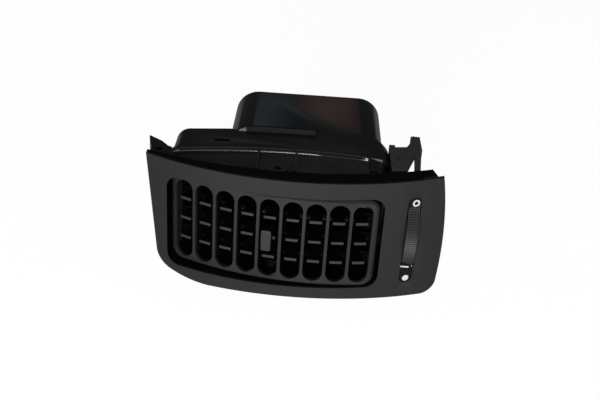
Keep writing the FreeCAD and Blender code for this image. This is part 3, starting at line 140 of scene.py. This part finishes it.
def piece_axes(tree):
    """The piece's own X, Y and Z in one of its shaders."""
    place = next(node for node in tree.nodes if node.type == "TEX_COORD")
    split = tree.nodes.new("ShaderNodeSeparateXYZ")
    tree.links.new(place.outputs["Object"], split.inputs["Vector"])
    return split.outputs


def mix_colours(tree, share, colour, other):
    """Blend the shader's colour from one to another by a share that changes over the surface."""
    mix = tree.nodes.new("ShaderNodeMix")
    mix.data_type = "RGBA"
    tree.links.new(share, mix.inputs["Factor"])
    mix.inputs["A"].default_value = (*colour, 1.0)
    mix.inputs["B"].default_value = (*other, 1.0)
    tree.links.new(mix.outputs["Result"], tree.nodes["Principled BSDF"].inputs["Base Color"])


# Near-black used for painted shade: places and parts that lie in shade are coloured with it.
painted_shade_black = (0.004, 0.004, 0.004)
slow_pace = 0.4
shaded_gleam_loss = 0.85


def shade_behind_face(material, colour, centre, radius, depths, slow_from=1.0):
    """Painted shade: let colour sink to black and gleam fade behind a bowed face, more slowly right of
    a place.
    """
    tree = material.node_tree
    axes = piece_axes(tree)
    across = math_node(tree, "SUBTRACT", axes["X"], centre[0])
    along = math_node(tree, "SUBTRACT", axes["Y"], centre[1])
    squared = math_node(tree, "ADD", math_node(tree, "MULTIPLY", across, across),
                        math_node(tree, "MULTIPLY", along, along))
    depth = math_node(tree, "SUBTRACT", radius, math_node(tree, "SQRT", squared, 0.0))
    left = math_node(tree, "LESS_THAN", axes["X"], slow_from)
    pace = math_node(tree, "ADD", math_node(tree, "MULTIPLY", left, 1.0 - slow_pace), slow_pace)
    fade = tree.nodes.new("ShaderNodeMapRange")
    fade.inputs["From Min"].default_value = depths[0]
    fade.inputs["From Max"].default_value = depths[1]
    tree.links.new(math_node(tree, "MULTIPLY", depth, pace), fade.inputs["Value"])
    mix_colours(tree, fade.outputs["Result"], colour, painted_shade_black)
    gleam = tree.nodes["Principled BSDF"].inputs["Specular IOR Level"]
    lost = math_node(tree, "MULTIPLY", fade.outputs["Result"], shaded_gleam_loss)
    kept = math_node(tree, "SUBTRACT", 1.0, lost)
    tree.links.new(math_node(tree, "MULTIPLY", kept, gleam.default_value), gleam)


panel_colour = (0.022, 0.022, 0.0235)
panel_shade = (0.0004, 0.0021)
bow_centre = (0.00565, 0.136)
bow_radius = 0.204
pocket_right = 0.0819
panel_finish = moulded_plastic("grained_black", panel_colour, 0.55, 0.0005, 0.00004, gleam=0.3)
# Painted shade: the rim round the opening and the pocket floors darken towards black with depth behind
# the face.
shade_behind_face(panel_finish, panel_colour, bow_centre, bow_radius, panel_shade, pocket_right)
rounded_copy("face_panel", "face", panel_finish, 0.0005)

# Swivelling grille: a slotted D-shaped ABS moulding with a soft outer edge. It turns by hand on two
# pins pressed into its bosses. Behind each end of it a bearing plate for the blades is snapped in.
grille_colour = (0.022, 0.022, 0.0235)
grille_shade = (0.0012, 0.004)
grille_centre = (0.0173, 0.13451)
grille_radius = 0.2007
grille_finish = moulded_plastic("satin_black", grille_colour, 0.42, 0.0006, 0.00002)
# Painted shade: the slot walls and fins behind the grille's face darken towards black.
shade_behind_face(grille_finish, grille_colour, grille_centre, grille_radius, grille_shade)
rounded_copy("grille_frame", "grille", grille_finish, 0.0007, 3)


def finish_node(node, material):
    """Give a CAD piece that keeps its own mesh its one material."""
    mesh = nodes[node].data
    mesh.materials.clear()
    mesh.materials.append(material)


# Painted shade: the bearing plates sit in shade behind the grille and are coloured near-black all over.
carrier_painted_shade = moulded_plastic("painted_shade_carrier", painted_shade_black, 0.6, 0.0006, 0.00002)
for node in ("left_blade_carrier", "right_blade_carrier"):
    finish_node(node, carrier_painted_shade)

# Blades: three horizontal mouldings with a finger in each slot, tied by an upright bar behind them
# so that they tilt together. A ribbed pusher is pressed on the middle finger of the middle one.
blade_colour = (0.036, 0.036, 0.038)
blade_shade = (0.0017, 0.0024)
blade_finish = moulded_plastic("blade_black", blade_colour, 0.5, 0.0006, 0.00002)
# Painted shade: the blades darken to black just behind their lit finger tips.
shade_behind_face(blade_finish, blade_colour, grille_centre, grille_radius, blade_shade)
for node in ("lower_blade", "middle_blade", "upper_blade"):
    rounded_copy(node, node.replace("_blade", "_louvre"), blade_finish, 0.0003)
finish_node("blade_link", blade_finish)
knob_colour = (0.036, 0.036, 0.038)
knob_shade = (-0.0037, -0.0025)
knob_finish = moulded_plastic("knob_grey", knob_colour, 0.5, 0.0005, 0.00003)
# Painted shade: the pusher's top darkens to black just behind its front face.
shade_behind_face(knob_finish, knob_colour, grille_centre, grille_radius, knob_shade)
rounded_copy("blade_knob", "pusher", knob_finish, 0.0002)

# Thumbwheel: a black moulded sector with a close row of round ribs on its rim, split into pads for
# the finger by narrow lines of painted shade where grooves would be. It turns on a steel pin beside
# the grille and is pushed with a fingertip from the dish next to it.
wheel_middle = Vector((0.07795, -0.02376, 0.0467))
wheel_radius = 0.036
wheel_half_width = 0.0038
wheel_colour = (0.027, 0.027, 0.028)
wheel_finish = moulded_plastic("wheel_black", wheel_colour, 0.45, 0.0005, 0.00003)


def groove_shade_lines(material, colour, start, pitch, share):
    """Paint narrow lines of shade round the rim where grooves would cut the ribs."""
    tree = material.node_tree
    axes = piece_axes(tree)
    steps = math_node(tree, "DIVIDE", math_node(tree, "SUBTRACT", axes["X"], start), pitch)
    groove = math_node(tree, "LESS_THAN", math_node(tree, "FRACT", steps, 0.0), share)
    mix_colours(tree, groove, colour, painted_shade_black)


pads_across = 4.75
groove_pitch = 2 * wheel_half_width / pads_across
groove_share = 0.28
groove_shade_lines(wheel_finish, wheel_colour, wheel_middle.x - wheel_half_width, groove_pitch, groove_share)
finish_node("thumbwheel", wheel_finish)


def new_link(tree, source, output, target, socket):
    """Join two nodes of a tree by the names of their sockets."""
    tree.links.new(source.outputs[output], target.inputs[socket])


def row_group():
    """Half-sunk round ribs in a row: even steps along a line, with a turn about X at each step."""
    tree = bpy.data.node_groups.new("row_of_ribs", "GeometryNodeTree")
    tree.interface.new_socket("Geometry", in_out="OUTPUT", socket_type="NodeSocketGeometry")
    kinds = {"Count": "NodeSocketInt", "Step": "NodeSocketVector", "Turn": "NodeSocketFloat",
             "Lever": "NodeSocketVector", "Length": "NodeSocketVector",
             "Radius": "NodeSocketFloat", "Material": "NodeSocketMaterial"}
    for name, kind in kinds.items():
        tree.interface.new_socket(name, in_out="INPUT", socket_type=kind)
    entry = tree.nodes.new("NodeGroupInput")
    leave = tree.nodes.new("NodeGroupOutput")
    line = tree.nodes.new("GeometryNodeMeshLine")
    bar = tree.nodes.new("GeometryNodeCurvePrimitiveLine")
    moved = tree.nodes.new("GeometryNodeTransform")
    section = tree.nodes.new("GeometryNodeCurvePrimitiveCircle")
    section.inputs["Resolution"].default_value = 8
    solid = tree.nodes.new("GeometryNodeCurveToMesh")
    solid.inputs["Fill Caps"].default_value = True
    index = tree.nodes.new("GeometryNodeInputIndex")
    angle = tree.nodes.new("ShaderNodeMath")
    angle.operation = "MULTIPLY"
    euler = tree.nodes.new("ShaderNodeCombineXYZ")
    place = tree.nodes.new("GeometryNodeInstanceOnPoints")
    real = tree.nodes.new("GeometryNodeRealizeInstances")
    paint = tree.nodes.new("GeometryNodeSetMaterial")
    new_link(tree, entry, "Count", line, "Count")
    new_link(tree, entry, "Step", line, "Offset")
    new_link(tree, entry, "Length", bar, "End")
    new_link(tree, entry, "Radius", section, "Radius")
    new_link(tree, bar, "Curve", solid, "Curve")
    new_link(tree, section, "Curve", solid, "Profile Curve")
    new_link(tree, solid, "Mesh", moved, "Geometry")
    new_link(tree, entry, "Lever", moved, "Translation")
    new_link(tree, line, "Mesh", place, "Points")
    new_link(tree, moved, "Geometry", place, "Instance")
    tree.links.new(index.outputs["Index"], angle.inputs[0])
    tree.links.new(entry.outputs["Turn"], angle.inputs[1])
    new_link(tree, angle, "Value", euler, "X")
    new_link(tree, euler, "Vector", place, "Rotation")
    new_link(tree, place, "Instances", real, "Geometry")
    new_link(tree, real, "Geometry", paint, "Geometry")
    new_link(tree, entry, "Material", paint, "Material")
    new_link(tree, paint, "Geometry", leave, "Geometry")
    return tree


def rib_row(name, origin, values, body):
    """Run the row of ribs once, keep its mesh as one plain piece and move that to its place."""
    carrier = bpy.data.objects.new(name + "_maker", bpy.data.meshes.new(name + "_maker"))
    bpy.context.scene.collection.objects.link(carrier)
    maker = carrier.modifiers.new("ribs", "NODES")
    maker.node_group = ribs
    for item in ribs.interface.items_tree:
        if item.in_out == "INPUT":
            maker[item.identifier] = values[item.name]
    view = bpy.context.evaluated_depsgraph_get()
    mesh = bpy.data.meshes.new_from_object(carrier.evaluated_get(view))
    bpy.data.objects.remove(carrier)
    mesh.transform(Matrix.Translation(origin))
    mesh.polygons.foreach_set("use_smooth", [True] * len(mesh.polygons))
    mesh.set_sharp_from_angle(angle=rib_smooth_turn)
    piece = bpy.data.objects.new(name, mesh)
    bpy.context.scene.collection.objects.link(piece)
    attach(piece, body)


ribs = row_group()
rib_smooth_turn = math.radians(50)
rib_step = math.radians(2.6)
first_rib = math.radians(133.5) + rib_step / 2
rib_radius = 0.0003
rib_end_gap = 0.0004
rib_reach = wheel_radius - rib_radius
lever = Vector((-wheel_half_width + rib_end_gap, rib_reach * math.cos(first_rib),
                rib_reach * math.sin(first_rib)))
rib_length = 2 * (wheel_half_width - rib_end_gap)
rib_row("wheel_ribs", wheel_middle,
        {"Count": 64, "Step": (0.0, 0.0, 0.0), "Turn": rib_step, "Lever": lever,
         "Length": (rib_length, 0.0, 0.0), "Radius": rib_radius, "Material": wheel_finish},
        "wheel")

# Printed marks: white ink, a hair thick, pad-printed on the floor of the wheel's pocket. A ring
# and a dot show open and shut, and a short bar marks the lower end of the wheel.
ink = bpy.data.materials.new("printed_white")
ink.use_nodes = True
ink_surface = ink.node_tree.nodes["Principled BSDF"]
ink_surface.inputs["Base Color"].default_value = (0.75, 0.75, 0.74, 1.0)
ink_surface.inputs["Roughness"].default_value = 0.5
ink_proud = 0.00012
pocket_depth = 0.0016


def pocket_point(x, z, proud):
    """A place on the bowed floor of the pocket, or a little in front of it."""
    reach = bow_radius - pocket_depth + proud
    return Vector((x, bow_centre[1] - math.sqrt(reach ** 2 - (x - bow_centre[0]) ** 2), z))


def lay_ink(name, work):
    """Turn a finished patch of ink into a piece that stays with the panel."""
    bmesh.ops.recalc_face_normals(work, faces=work.faces)
    mesh = bpy.data.meshes.new(name)
    work.to_mesh(mesh)
    work.free()
    mesh.materials.append(ink)
    mark = bpy.data.objects.new(name, mesh)
    bpy.context.scene.collection.objects.link(mark)
    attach(mark, "housing")


def printed_ring(name, x, z, outer, inner, steps=48):
    """A flat ring of ink, or a disc where the inner radius is nought."""
    work = bmesh.new()
    rings = [(outer, 0.0), (outer, ink_proud)]
    rings += [(inner, ink_proud), (inner, 0.0)] if inner > 0 else [(outer * 0.5, ink_proud)]
    loops = []
    for radius, proud in rings:
        loop = []
        for step in range(steps):
            turn = 2 * math.pi * step / steps
            loop.append(work.verts.new(pocket_point(x + radius * math.cos(turn),
                                                    z + radius * math.sin(turn), proud)))
        loops.append(loop)
    for near, far in zip(loops[:-1], loops[1:]):
        for step in range(steps):
            after = (step + 1) % steps
            work.faces.new((near[step], near[after], far[after], far[step]))
    if inner <= 0:
        work.faces.new(loops[-1])
    lay_ink(name, work)


def printed_bar(name, start, end, half, steps=8):
    """A flat bar of ink from one point to another."""
    work = bmesh.new()
    middles = [start.lerp(end, step / steps) for step in range(steps + 1)]
    rows = []
    for offset, proud in ((-half, 0.0), (-half, ink_proud), (half, ink_proud), (half, 0.0)):
        rows.append([work.verts.new(pocket_point(point.x, point.y + offset, proud))
                     for point in middles])
    for near, far in zip(rows[:-1], rows[1:]):
        for step in range(steps):
            work.faces.new((near[step], near[step + 1], far[step + 1], far[step]))
    lay_ink(name, work)


printed_ring("open_ring", 0.0790, 0.0710, 0.0024, 0.0013)
printed_ring("shut_dot", 0.0781, 0.0140, 0.0022, 0.0)
printed_bar("pointer_bar", Vector((0.0732, 0.0239)), Vector((0.0795, 0.0224)), 0.00055)

# Housings: front and rear shell, the mounting ear and the wheel's bracket are black ABS mouldings
# from polished tools, the rear shell and the ear the glossiest. The rear shell laps over the front
# one, and the other two are screwed on.
def shade_collar_step(material, across, along, height, lost):
    """Painted shade: take most of the gleam off the short step at the foot of the collar, which lies in
    shade.
    """
    tree = material.node_tree
    axes = piece_axes(tree)
    inside = math_node(tree, "GREATER_THAN", axes["Z"], height)
    for place, (start, end) in ((axes["Y"], along), (axes["X"], across)):
        past = math_node(tree, "GREATER_THAN", place, start)
        short = math_node(tree, "LESS_THAN", place, end)
        inside = math_node(tree, "MULTIPLY", math_node(tree, "MULTIPLY", inside, past), short)
    gleam = tree.nodes["Principled BSDF"].inputs["Specular IOR Level"]
    kept = math_node(tree, "SUBTRACT", gleam.default_value, math_node(tree, "MULTIPLY", inside, lost))
    tree.links.new(kept, gleam)


polished = ((0.010, 0.010, 0.011), 0.2, 0.004, 0.00003, 0.04)
step_across = (-0.036, 0.014)
step_along = (0.0015, 0.0062)
step_height = 0.0874
step_shade_loss = 0.47
housing_finish = moulded_plastic("gloss_black", *polished)
front_finish = moulded_plastic("satin_front_shell", (0.012, 0.012, 0.013), 0.36, 0.004, 0.00003, 0.05)
rounded_copy("front_housing", "front_shell", front_finish, 0.0004)
duct_finish = moulded_plastic("gloss_black_duct", *polished)
# Painted shade on the collar's step: its gleam is cut so that it reads dark.
shade_collar_step(duct_finish, step_across, step_along, step_height, step_shade_loss)
rounded_copy("rear_housing", "rear_shell", duct_finish, 0.0006, 3)
rounded_copy("mounting_ear", "left_ear", housing_finish, 0.0004)
bracket_finish = moulded_plastic("bracket_black", (0.055, 0.056, 0.056), 0.35, 0.004, 0.00003, 0.04)
rounded_copy("wheel_bracket", "side_bracket", bracket_finish, 0.0004)
for name, first_place, count, step, length in (
        ("shell_ribs", Vector((0.0318, -0.0145, 0.0877)), 5, 0.0022, 0.0095),
        ("bracket_ribs", Vector((0.0662, -0.0290, 0.0877)), 4, 0.0024, 0.0032)):
    rib_row(name, first_place,
            {"Count": count, "Step": (0.0, step, 0.0), "Turn": 0.0, "Lever": Vector(),
             "Length": (length, 0.0, 0.0), "Radius": 0.0004, "Material": housing_finish},
            "housing")

# Damper and its drive: a moulded flap in the collar, turned by a lever and a rod from the thumbwheel.
# The rod is clipped on two crank pins. The lip round the flap is soft rubber, and so is the ring
# under the grille that holds it where it is turned.
flap_finish = moulded_plastic("flap_black", (0.02, 0.02, 0.021), 0.5, 0.0006, 0.00003)
finish_node("damper_flap", flap_finish)
link_finish = moulded_plastic("link_black", (0.026, 0.026, 0.027), 0.45, 0.0005, 0.00003)
for node in ("damper_lever", "control_rod"):
    finish_node(node, link_finish)
seal_finish = moulded_plastic("soft_seal", (0.02, 0.02, 0.02), 0.8, 0.0008, 0.0001)
for node in ("damper_seal", "friction_washer"):
    finish_node(node, seal_finish)


# Steel parts: drawn wire and turned pins, bright on the shafts and clips, and blackened on the two
# pins of the grille. They are pressed or clipped into the mouldings.
def drawn_steel(name, colour):
    """Bare steel with fine, uneven scratches in its sheen."""
    material = bpy.data.materials.new(name)
    material.use_nodes = True
    tree = material.node_tree
    surface = tree.nodes["Principled BSDF"]
    surface.inputs["Base Color"].default_value = (*colour, 1.0)
    surface.inputs["Metallic"].default_value = 1.0
    place = tree.nodes.new("ShaderNodeTexCoord")
    scratch = tree.nodes.new("ShaderNodeTexNoise")
    scratch.inputs["Scale"].default_value = 900.0
    sheen = tree.nodes.new("ShaderNodeMapRange")
    sheen.inputs["To Min"].default_value = 0.22
    sheen.inputs["To Max"].default_value = 0.42
    tree.links.new(place.outputs["Object"], scratch.inputs["Vector"])
    tree.links.new(scratch.outputs["Fac"], sheen.inputs["Value"])
    tree.links.new(sheen.outputs["Result"], surface.inputs["Roughness"])
    return material


steel = drawn_steel("drawn_steel", (0.55, 0.55, 0.56))
for node in ("wheel_axle", "wheel_rod_clip", "lever_rod_clip", "damper_shaft", "lever_screw"):
    finish_node(node, steel)
finish_node("grille_pivot_pins", drawn_steel("blackened_steel", (0.05, 0.05, 0.05)))


# Screws: zinc-plated self-tapping screws with a domed head and a cross recess, cold headed and
# rolled. Two hold the bracket and one the ear.
head_radius = 0.0029
head_height = 0.0018
head_domes = [(0.0, head_radius), (0.0006, head_radius), (0.0013, 0.00255), (head_height, 0.0019)]
recess_reach = 0.0014
recess_half = 0.0003
recess_floor = 0.0007
recess_draft = 0.8
shank_radius = 0.00145
shank_length = 0.0041
screw_steps = 32
screw_smooth_turn = math.radians(35)


def cross_outline(reach, half):
    """The twelve corners of the cross recess."""
    quarter = [(reach, -half), (reach, half), (half, half)]
    points = []
    for turn in range(4):
        for a, b in quarter:
            for _ in range(turn):
                a, b = -b, a
            points.append((a, b))
    return points


def screw_loop(work, x, radius):
    """A ring of points about the screw's axis."""
    turns = [2 * math.pi * step / screw_steps for step in range(screw_steps)]
    return [work.verts.new((x, radius * math.cos(turn), radius * math.sin(turn))) for turn in turns]


def join_loops(work, near, far):
    """A band of faces between two rings with as many points each."""
    for s in range(len(near)):
        after = (s + 1) % len(near)
        work.faces.new((near[s], near[after], far[after], far[s]))


def screw_pattern():
    """One screw along X with its seat at X = 0: a plain shank and a domed head with a cross recess."""
    work = bmesh.new()
    loops = [screw_loop(work, x, radius) for x, radius in head_domes]
    for near, far in zip(loops[:-1], loops[1:]):
        join_loops(work, near, far)
    outline = cross_outline(recess_reach, recess_half)
    top = [work.verts.new((head_height, y, z)) for y, z in outline]
    deep = [work.verts.new((recess_floor, y * recess_draft, z * recess_draft)) for y, z in outline]
    edges = []
    for ring in (loops[-1], top):
        for s, vert in enumerate(ring):
            after = ring[(s + 1) % len(ring)]
            edges.append(work.edges.get((vert, after)) or work.edges.new((vert, after)))
    bmesh.ops.triangle_fill(work, edges=edges, use_beauty=True)
    join_loops(work, top, deep)
    work.faces.new(deep)
    shank = [screw_loop(work, x, shank_radius) for x in (0.0, -shank_length)]
    join_loops(work, loops[0], shank[0])
    join_loops(work, shank[0], shank[1])
    work.faces.new(shank[1])
    bmesh.ops.recalc_face_normals(work, faces=work.faces)
    mesh = bpy.data.meshes.new("screw_pattern")
    work.to_mesh(mesh)
    work.free()
    pattern = bpy.data.objects.new("screw_pattern", mesh)
    bpy.context.scene.collection.objects.link(pattern)
    return pattern


def screw_group():
    """A copy of the screw on every point, turned as the point's own stored angles say."""
    tree = bpy.data.node_groups.new("screws_on_points", "GeometryNodeTree")
    tree.interface.new_socket("Geometry", in_out="OUTPUT", socket_type="NodeSocketGeometry")
    tree.interface.new_socket("Points", in_out="INPUT", socket_type="NodeSocketGeometry")
    tree.interface.new_socket("Screw", in_out="INPUT", socket_type="NodeSocketObject")
    tree.interface.new_socket("Material", in_out="INPUT", socket_type="NodeSocketMaterial")
    entry = tree.nodes.new("NodeGroupInput")
    leave = tree.nodes.new("NodeGroupOutput")
    source = tree.nodes.new("GeometryNodeObjectInfo")
    facing = tree.nodes.new("GeometryNodeInputNamedAttribute")
    facing.data_type = "FLOAT_VECTOR"
    facing.inputs["Name"].default_value = "facing"
    place = tree.nodes.new("GeometryNodeInstanceOnPoints")
    real = tree.nodes.new("GeometryNodeRealizeInstances")
    paint = tree.nodes.new("GeometryNodeSetMaterial")
    new_link(tree, entry, "Screw", source, "Object")
    new_link(tree, entry, "Points", place, "Points")
    new_link(tree, source, "Geometry", place, "Instance")
    new_link(tree, facing, "Attribute", place, "Rotation")
    new_link(tree, place, "Instances", real, "Geometry")
    new_link(tree, real, "Geometry", paint, "Geometry")
    new_link(tree, entry, "Material", paint, "Material")
    new_link(tree, paint, "Geometry", leave, "Geometry")
    return tree


def place_screws(name, places, replaced):
    """Put the screws on the given places, each with the angle it is turned by about the upright."""
    points = bpy.data.meshes.new(name + "_points")
    points.from_pydata([place for place, turn in places], [], [])
    facing = points.attributes.new("facing", "FLOAT_VECTOR", "POINT")
    for item, (place, turn) in zip(facing.data, places):
        item.vector = (driven_turn, 0.0, turn)
    carrier = bpy.data.objects.new(name + "_maker", points)
    bpy.context.scene.collection.objects.link(carrier)
    pattern = screw_pattern()
    maker = carrier.modifiers.new("screws", "NODES")
    group = screw_group()
    maker.node_group = group
    values = {"Screw": pattern, "Material": steel}
    for item in group.interface.items_tree:
        if item.in_out == "INPUT" and item.name in values:
            maker[item.identifier] = values[item.name]
    view = bpy.context.evaluated_depsgraph_get()
    mesh = bpy.data.meshes.new_from_object(carrier.evaluated_get(view))
    bpy.data.objects.remove(carrier)
    bpy.data.objects.remove(pattern)
    mesh.polygons.foreach_set("use_smooth", [True] * len(mesh.polygons))
    mesh.set_sharp_from_angle(angle=screw_smooth_turn)
    piece = bpy.data.objects.new(name, mesh)
    bpy.context.scene.collection.objects.link(piece)
    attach(piece, "housing")
    for node in replaced:
        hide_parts(node)


def box_of(node):
    """The low and the high corner of a CAD piece."""
    corners = [nodes[node].matrix_world @ Vector(corner) for corner in nodes[node].bound_box]
    return [Vector([pick(corner[i] for corner in corners) for i in range(3)]) for pick in (min, max)]


driven_turn = math.radians(20.0)
low, high = box_of("bracket_screws")
seat_y = (low.y + high.y) / 2
seats = [(Vector((high.x - head_height, seat_y, z)), 0.0)
         for z in (low.z + head_radius, high.z - head_radius)]
low, high = box_of("ear_screw")
seats.append((Vector((low.x + head_height, (low.y + high.y) / 2, (low.z + high.z) / 2)), math.pi))
place_screws("pan_head_screws", seats, ("bracket_screws", "ear_screw"))

# Studio: a plain white floor under a white sky, and soft boxes low in front. Little light comes
# from above, so the tops stay dark, and weak strips give the gloss its soft streaks.
bpy.ops.mesh.primitive_plane_add(size=6.0, location=(0, 0, 0))
floor = bpy.context.object
floor.name = "floor"
floor_finish = bpy.data.materials.new("studio_floor")
floor_finish.use_nodes = True
tree = floor_finish.node_tree
surface = tree.nodes["Principled BSDF"]
surface.inputs["Roughness"].default_value = 0.9
surface.inputs["Specular IOR Level"].default_value = 0.0
glow = tree.nodes.new("ShaderNodeEmission")
glow.inputs["Strength"].default_value = 1.12
floor_tone = 0.9
mirrored_loss = 0.6
mirrored_glow = 0.12
glow_share = 0.85
path = tree.nodes.new("ShaderNodeLightPath")
mirrored = path.outputs["Is Glossy Ray"]
tone = math_node(tree, "SUBTRACT", floor_tone, math_node(tree, "MULTIPLY", mirrored, mirrored_loss))
tree.links.new(tone, surface.inputs["Base Color"])
seen = math_node(tree, "MAXIMUM", path.outputs["Is Camera Ray"],
                 math_node(tree, "MULTIPLY", mirrored, mirrored_glow))
mix = tree.nodes.new("ShaderNodeMixShader")
tree.links.new(math_node(tree, "MULTIPLY", seen, glow_share), mix.inputs["Fac"])
tree.links.new(surface.outputs["BSDF"], mix.inputs[1])
tree.links.new(glow.outputs["Emission"], mix.inputs[2])
tree.links.new(mix.outputs["Shader"], tree.nodes["Material Output"].inputs["Surface"])
floor.data.materials.append(floor_finish)

world = bpy.data.worlds.new("studio")
bpy.context.scene.world = world
world.use_nodes = True
sky_light = 0.04
tree = world.node_tree
sky = tree.nodes["Background"]
sky.inputs["Color"].default_value = (1.0, 1.0, 1.0, 1.0)
path = tree.nodes.new("ShaderNodeLightPath")
seen = math_node(tree, "MULTIPLY", path.outputs["Is Camera Ray"], 1.0 - sky_light)
tree.links.new(math_node(tree, "ADD", seen, sky_light), sky.inputs["Strength"])
vent_middle = Vector((0, 0, 0.045))


def soft_box(name, place, size, power, colour=(1.0, 1.0, 1.0)):
    """A soft lamp that looks at the middle of the vent."""
    data = bpy.data.lights.new(name, "AREA")
    data.shape = "RECTANGLE"
    data.size, data.size_y = size
    data.energy = power
    data.color = colour
    lamp = bpy.data.objects.new(name, data)
    bpy.context.scene.collection.objects.link(lamp)
    lamp.location = place
    away = vent_middle - Vector(place)
    lamp.rotation_euler = away.to_track_quat("-Z", "Y").to_euler()


soft_box("key", (-0.35, -1.7, 0.3), (0.9, 0.35), 23.0)
soft_box("fill", (0.9, -1.4, 0.25), (0.7, 0.35), 5.0)
soft_box("lip_front_strip", (0.0, -1.1, 0.55), (1.1, 0.25), 1.8)
soft_box("lip_top_strip", (0.0, 0.15, 1.15), (1.2, 0.3), 0.8)
soft_box("left_strip", (-1.3, 0.5, 0.55), (0.25, 0.9), 1.6, (0.9, 0.95, 1.0))
soft_box("right_strip", (1.3, 0.4, 0.5), (0.25, 0.9), 1.6, (1.0, 0.95, 0.92))
soft_box("cool_back", (-0.13, 1.6, 1.0), (0.14, 0.5), 0.045, (0.4, 0.75, 1.0))
soft_box("warm_back", (0.07, 1.6, 0.92), (0.15, 0.5), 0.055, (1.0, 0.56, 0.48))

# Camera: the photo's own view, from a little above the front with a slight roll. Its place, pitch
# and focal length were fitted to points of the object that show in the photo.
pitch = math.radians(28.5)
roll = math.radians(3.9)
ahead = Vector((0, math.cos(pitch), -math.sin(pitch)))
right = Vector((1, 0, 0))
above = right.cross(ahead)
side = math.cos(roll) * right + math.sin(roll) * above
top = -math.sin(roll) * right + math.cos(roll) * above
focal_pixels = 934.0
frame_pixels = 600.0
camera_data = bpy.data.cameras.new("camera")
camera_data.sensor_width = 36.0
camera_data.lens = camera_data.sensor_width * focal_pixels / frame_pixels
camera = bpy.data.objects.new("camera", camera_data)
bpy.context.scene.collection.objects.link(camera)
camera_place = Vector((0.00415, -0.5816, 0.3548))
camera_turn = Matrix((side, top, -ahead)).transposed().to_4x4()
camera.matrix_world = Matrix.Translation(camera_place) @ camera_turn
bpy.context.scene.camera = camera
bpy.context.scene.view_settings.view_transform = "Standard"
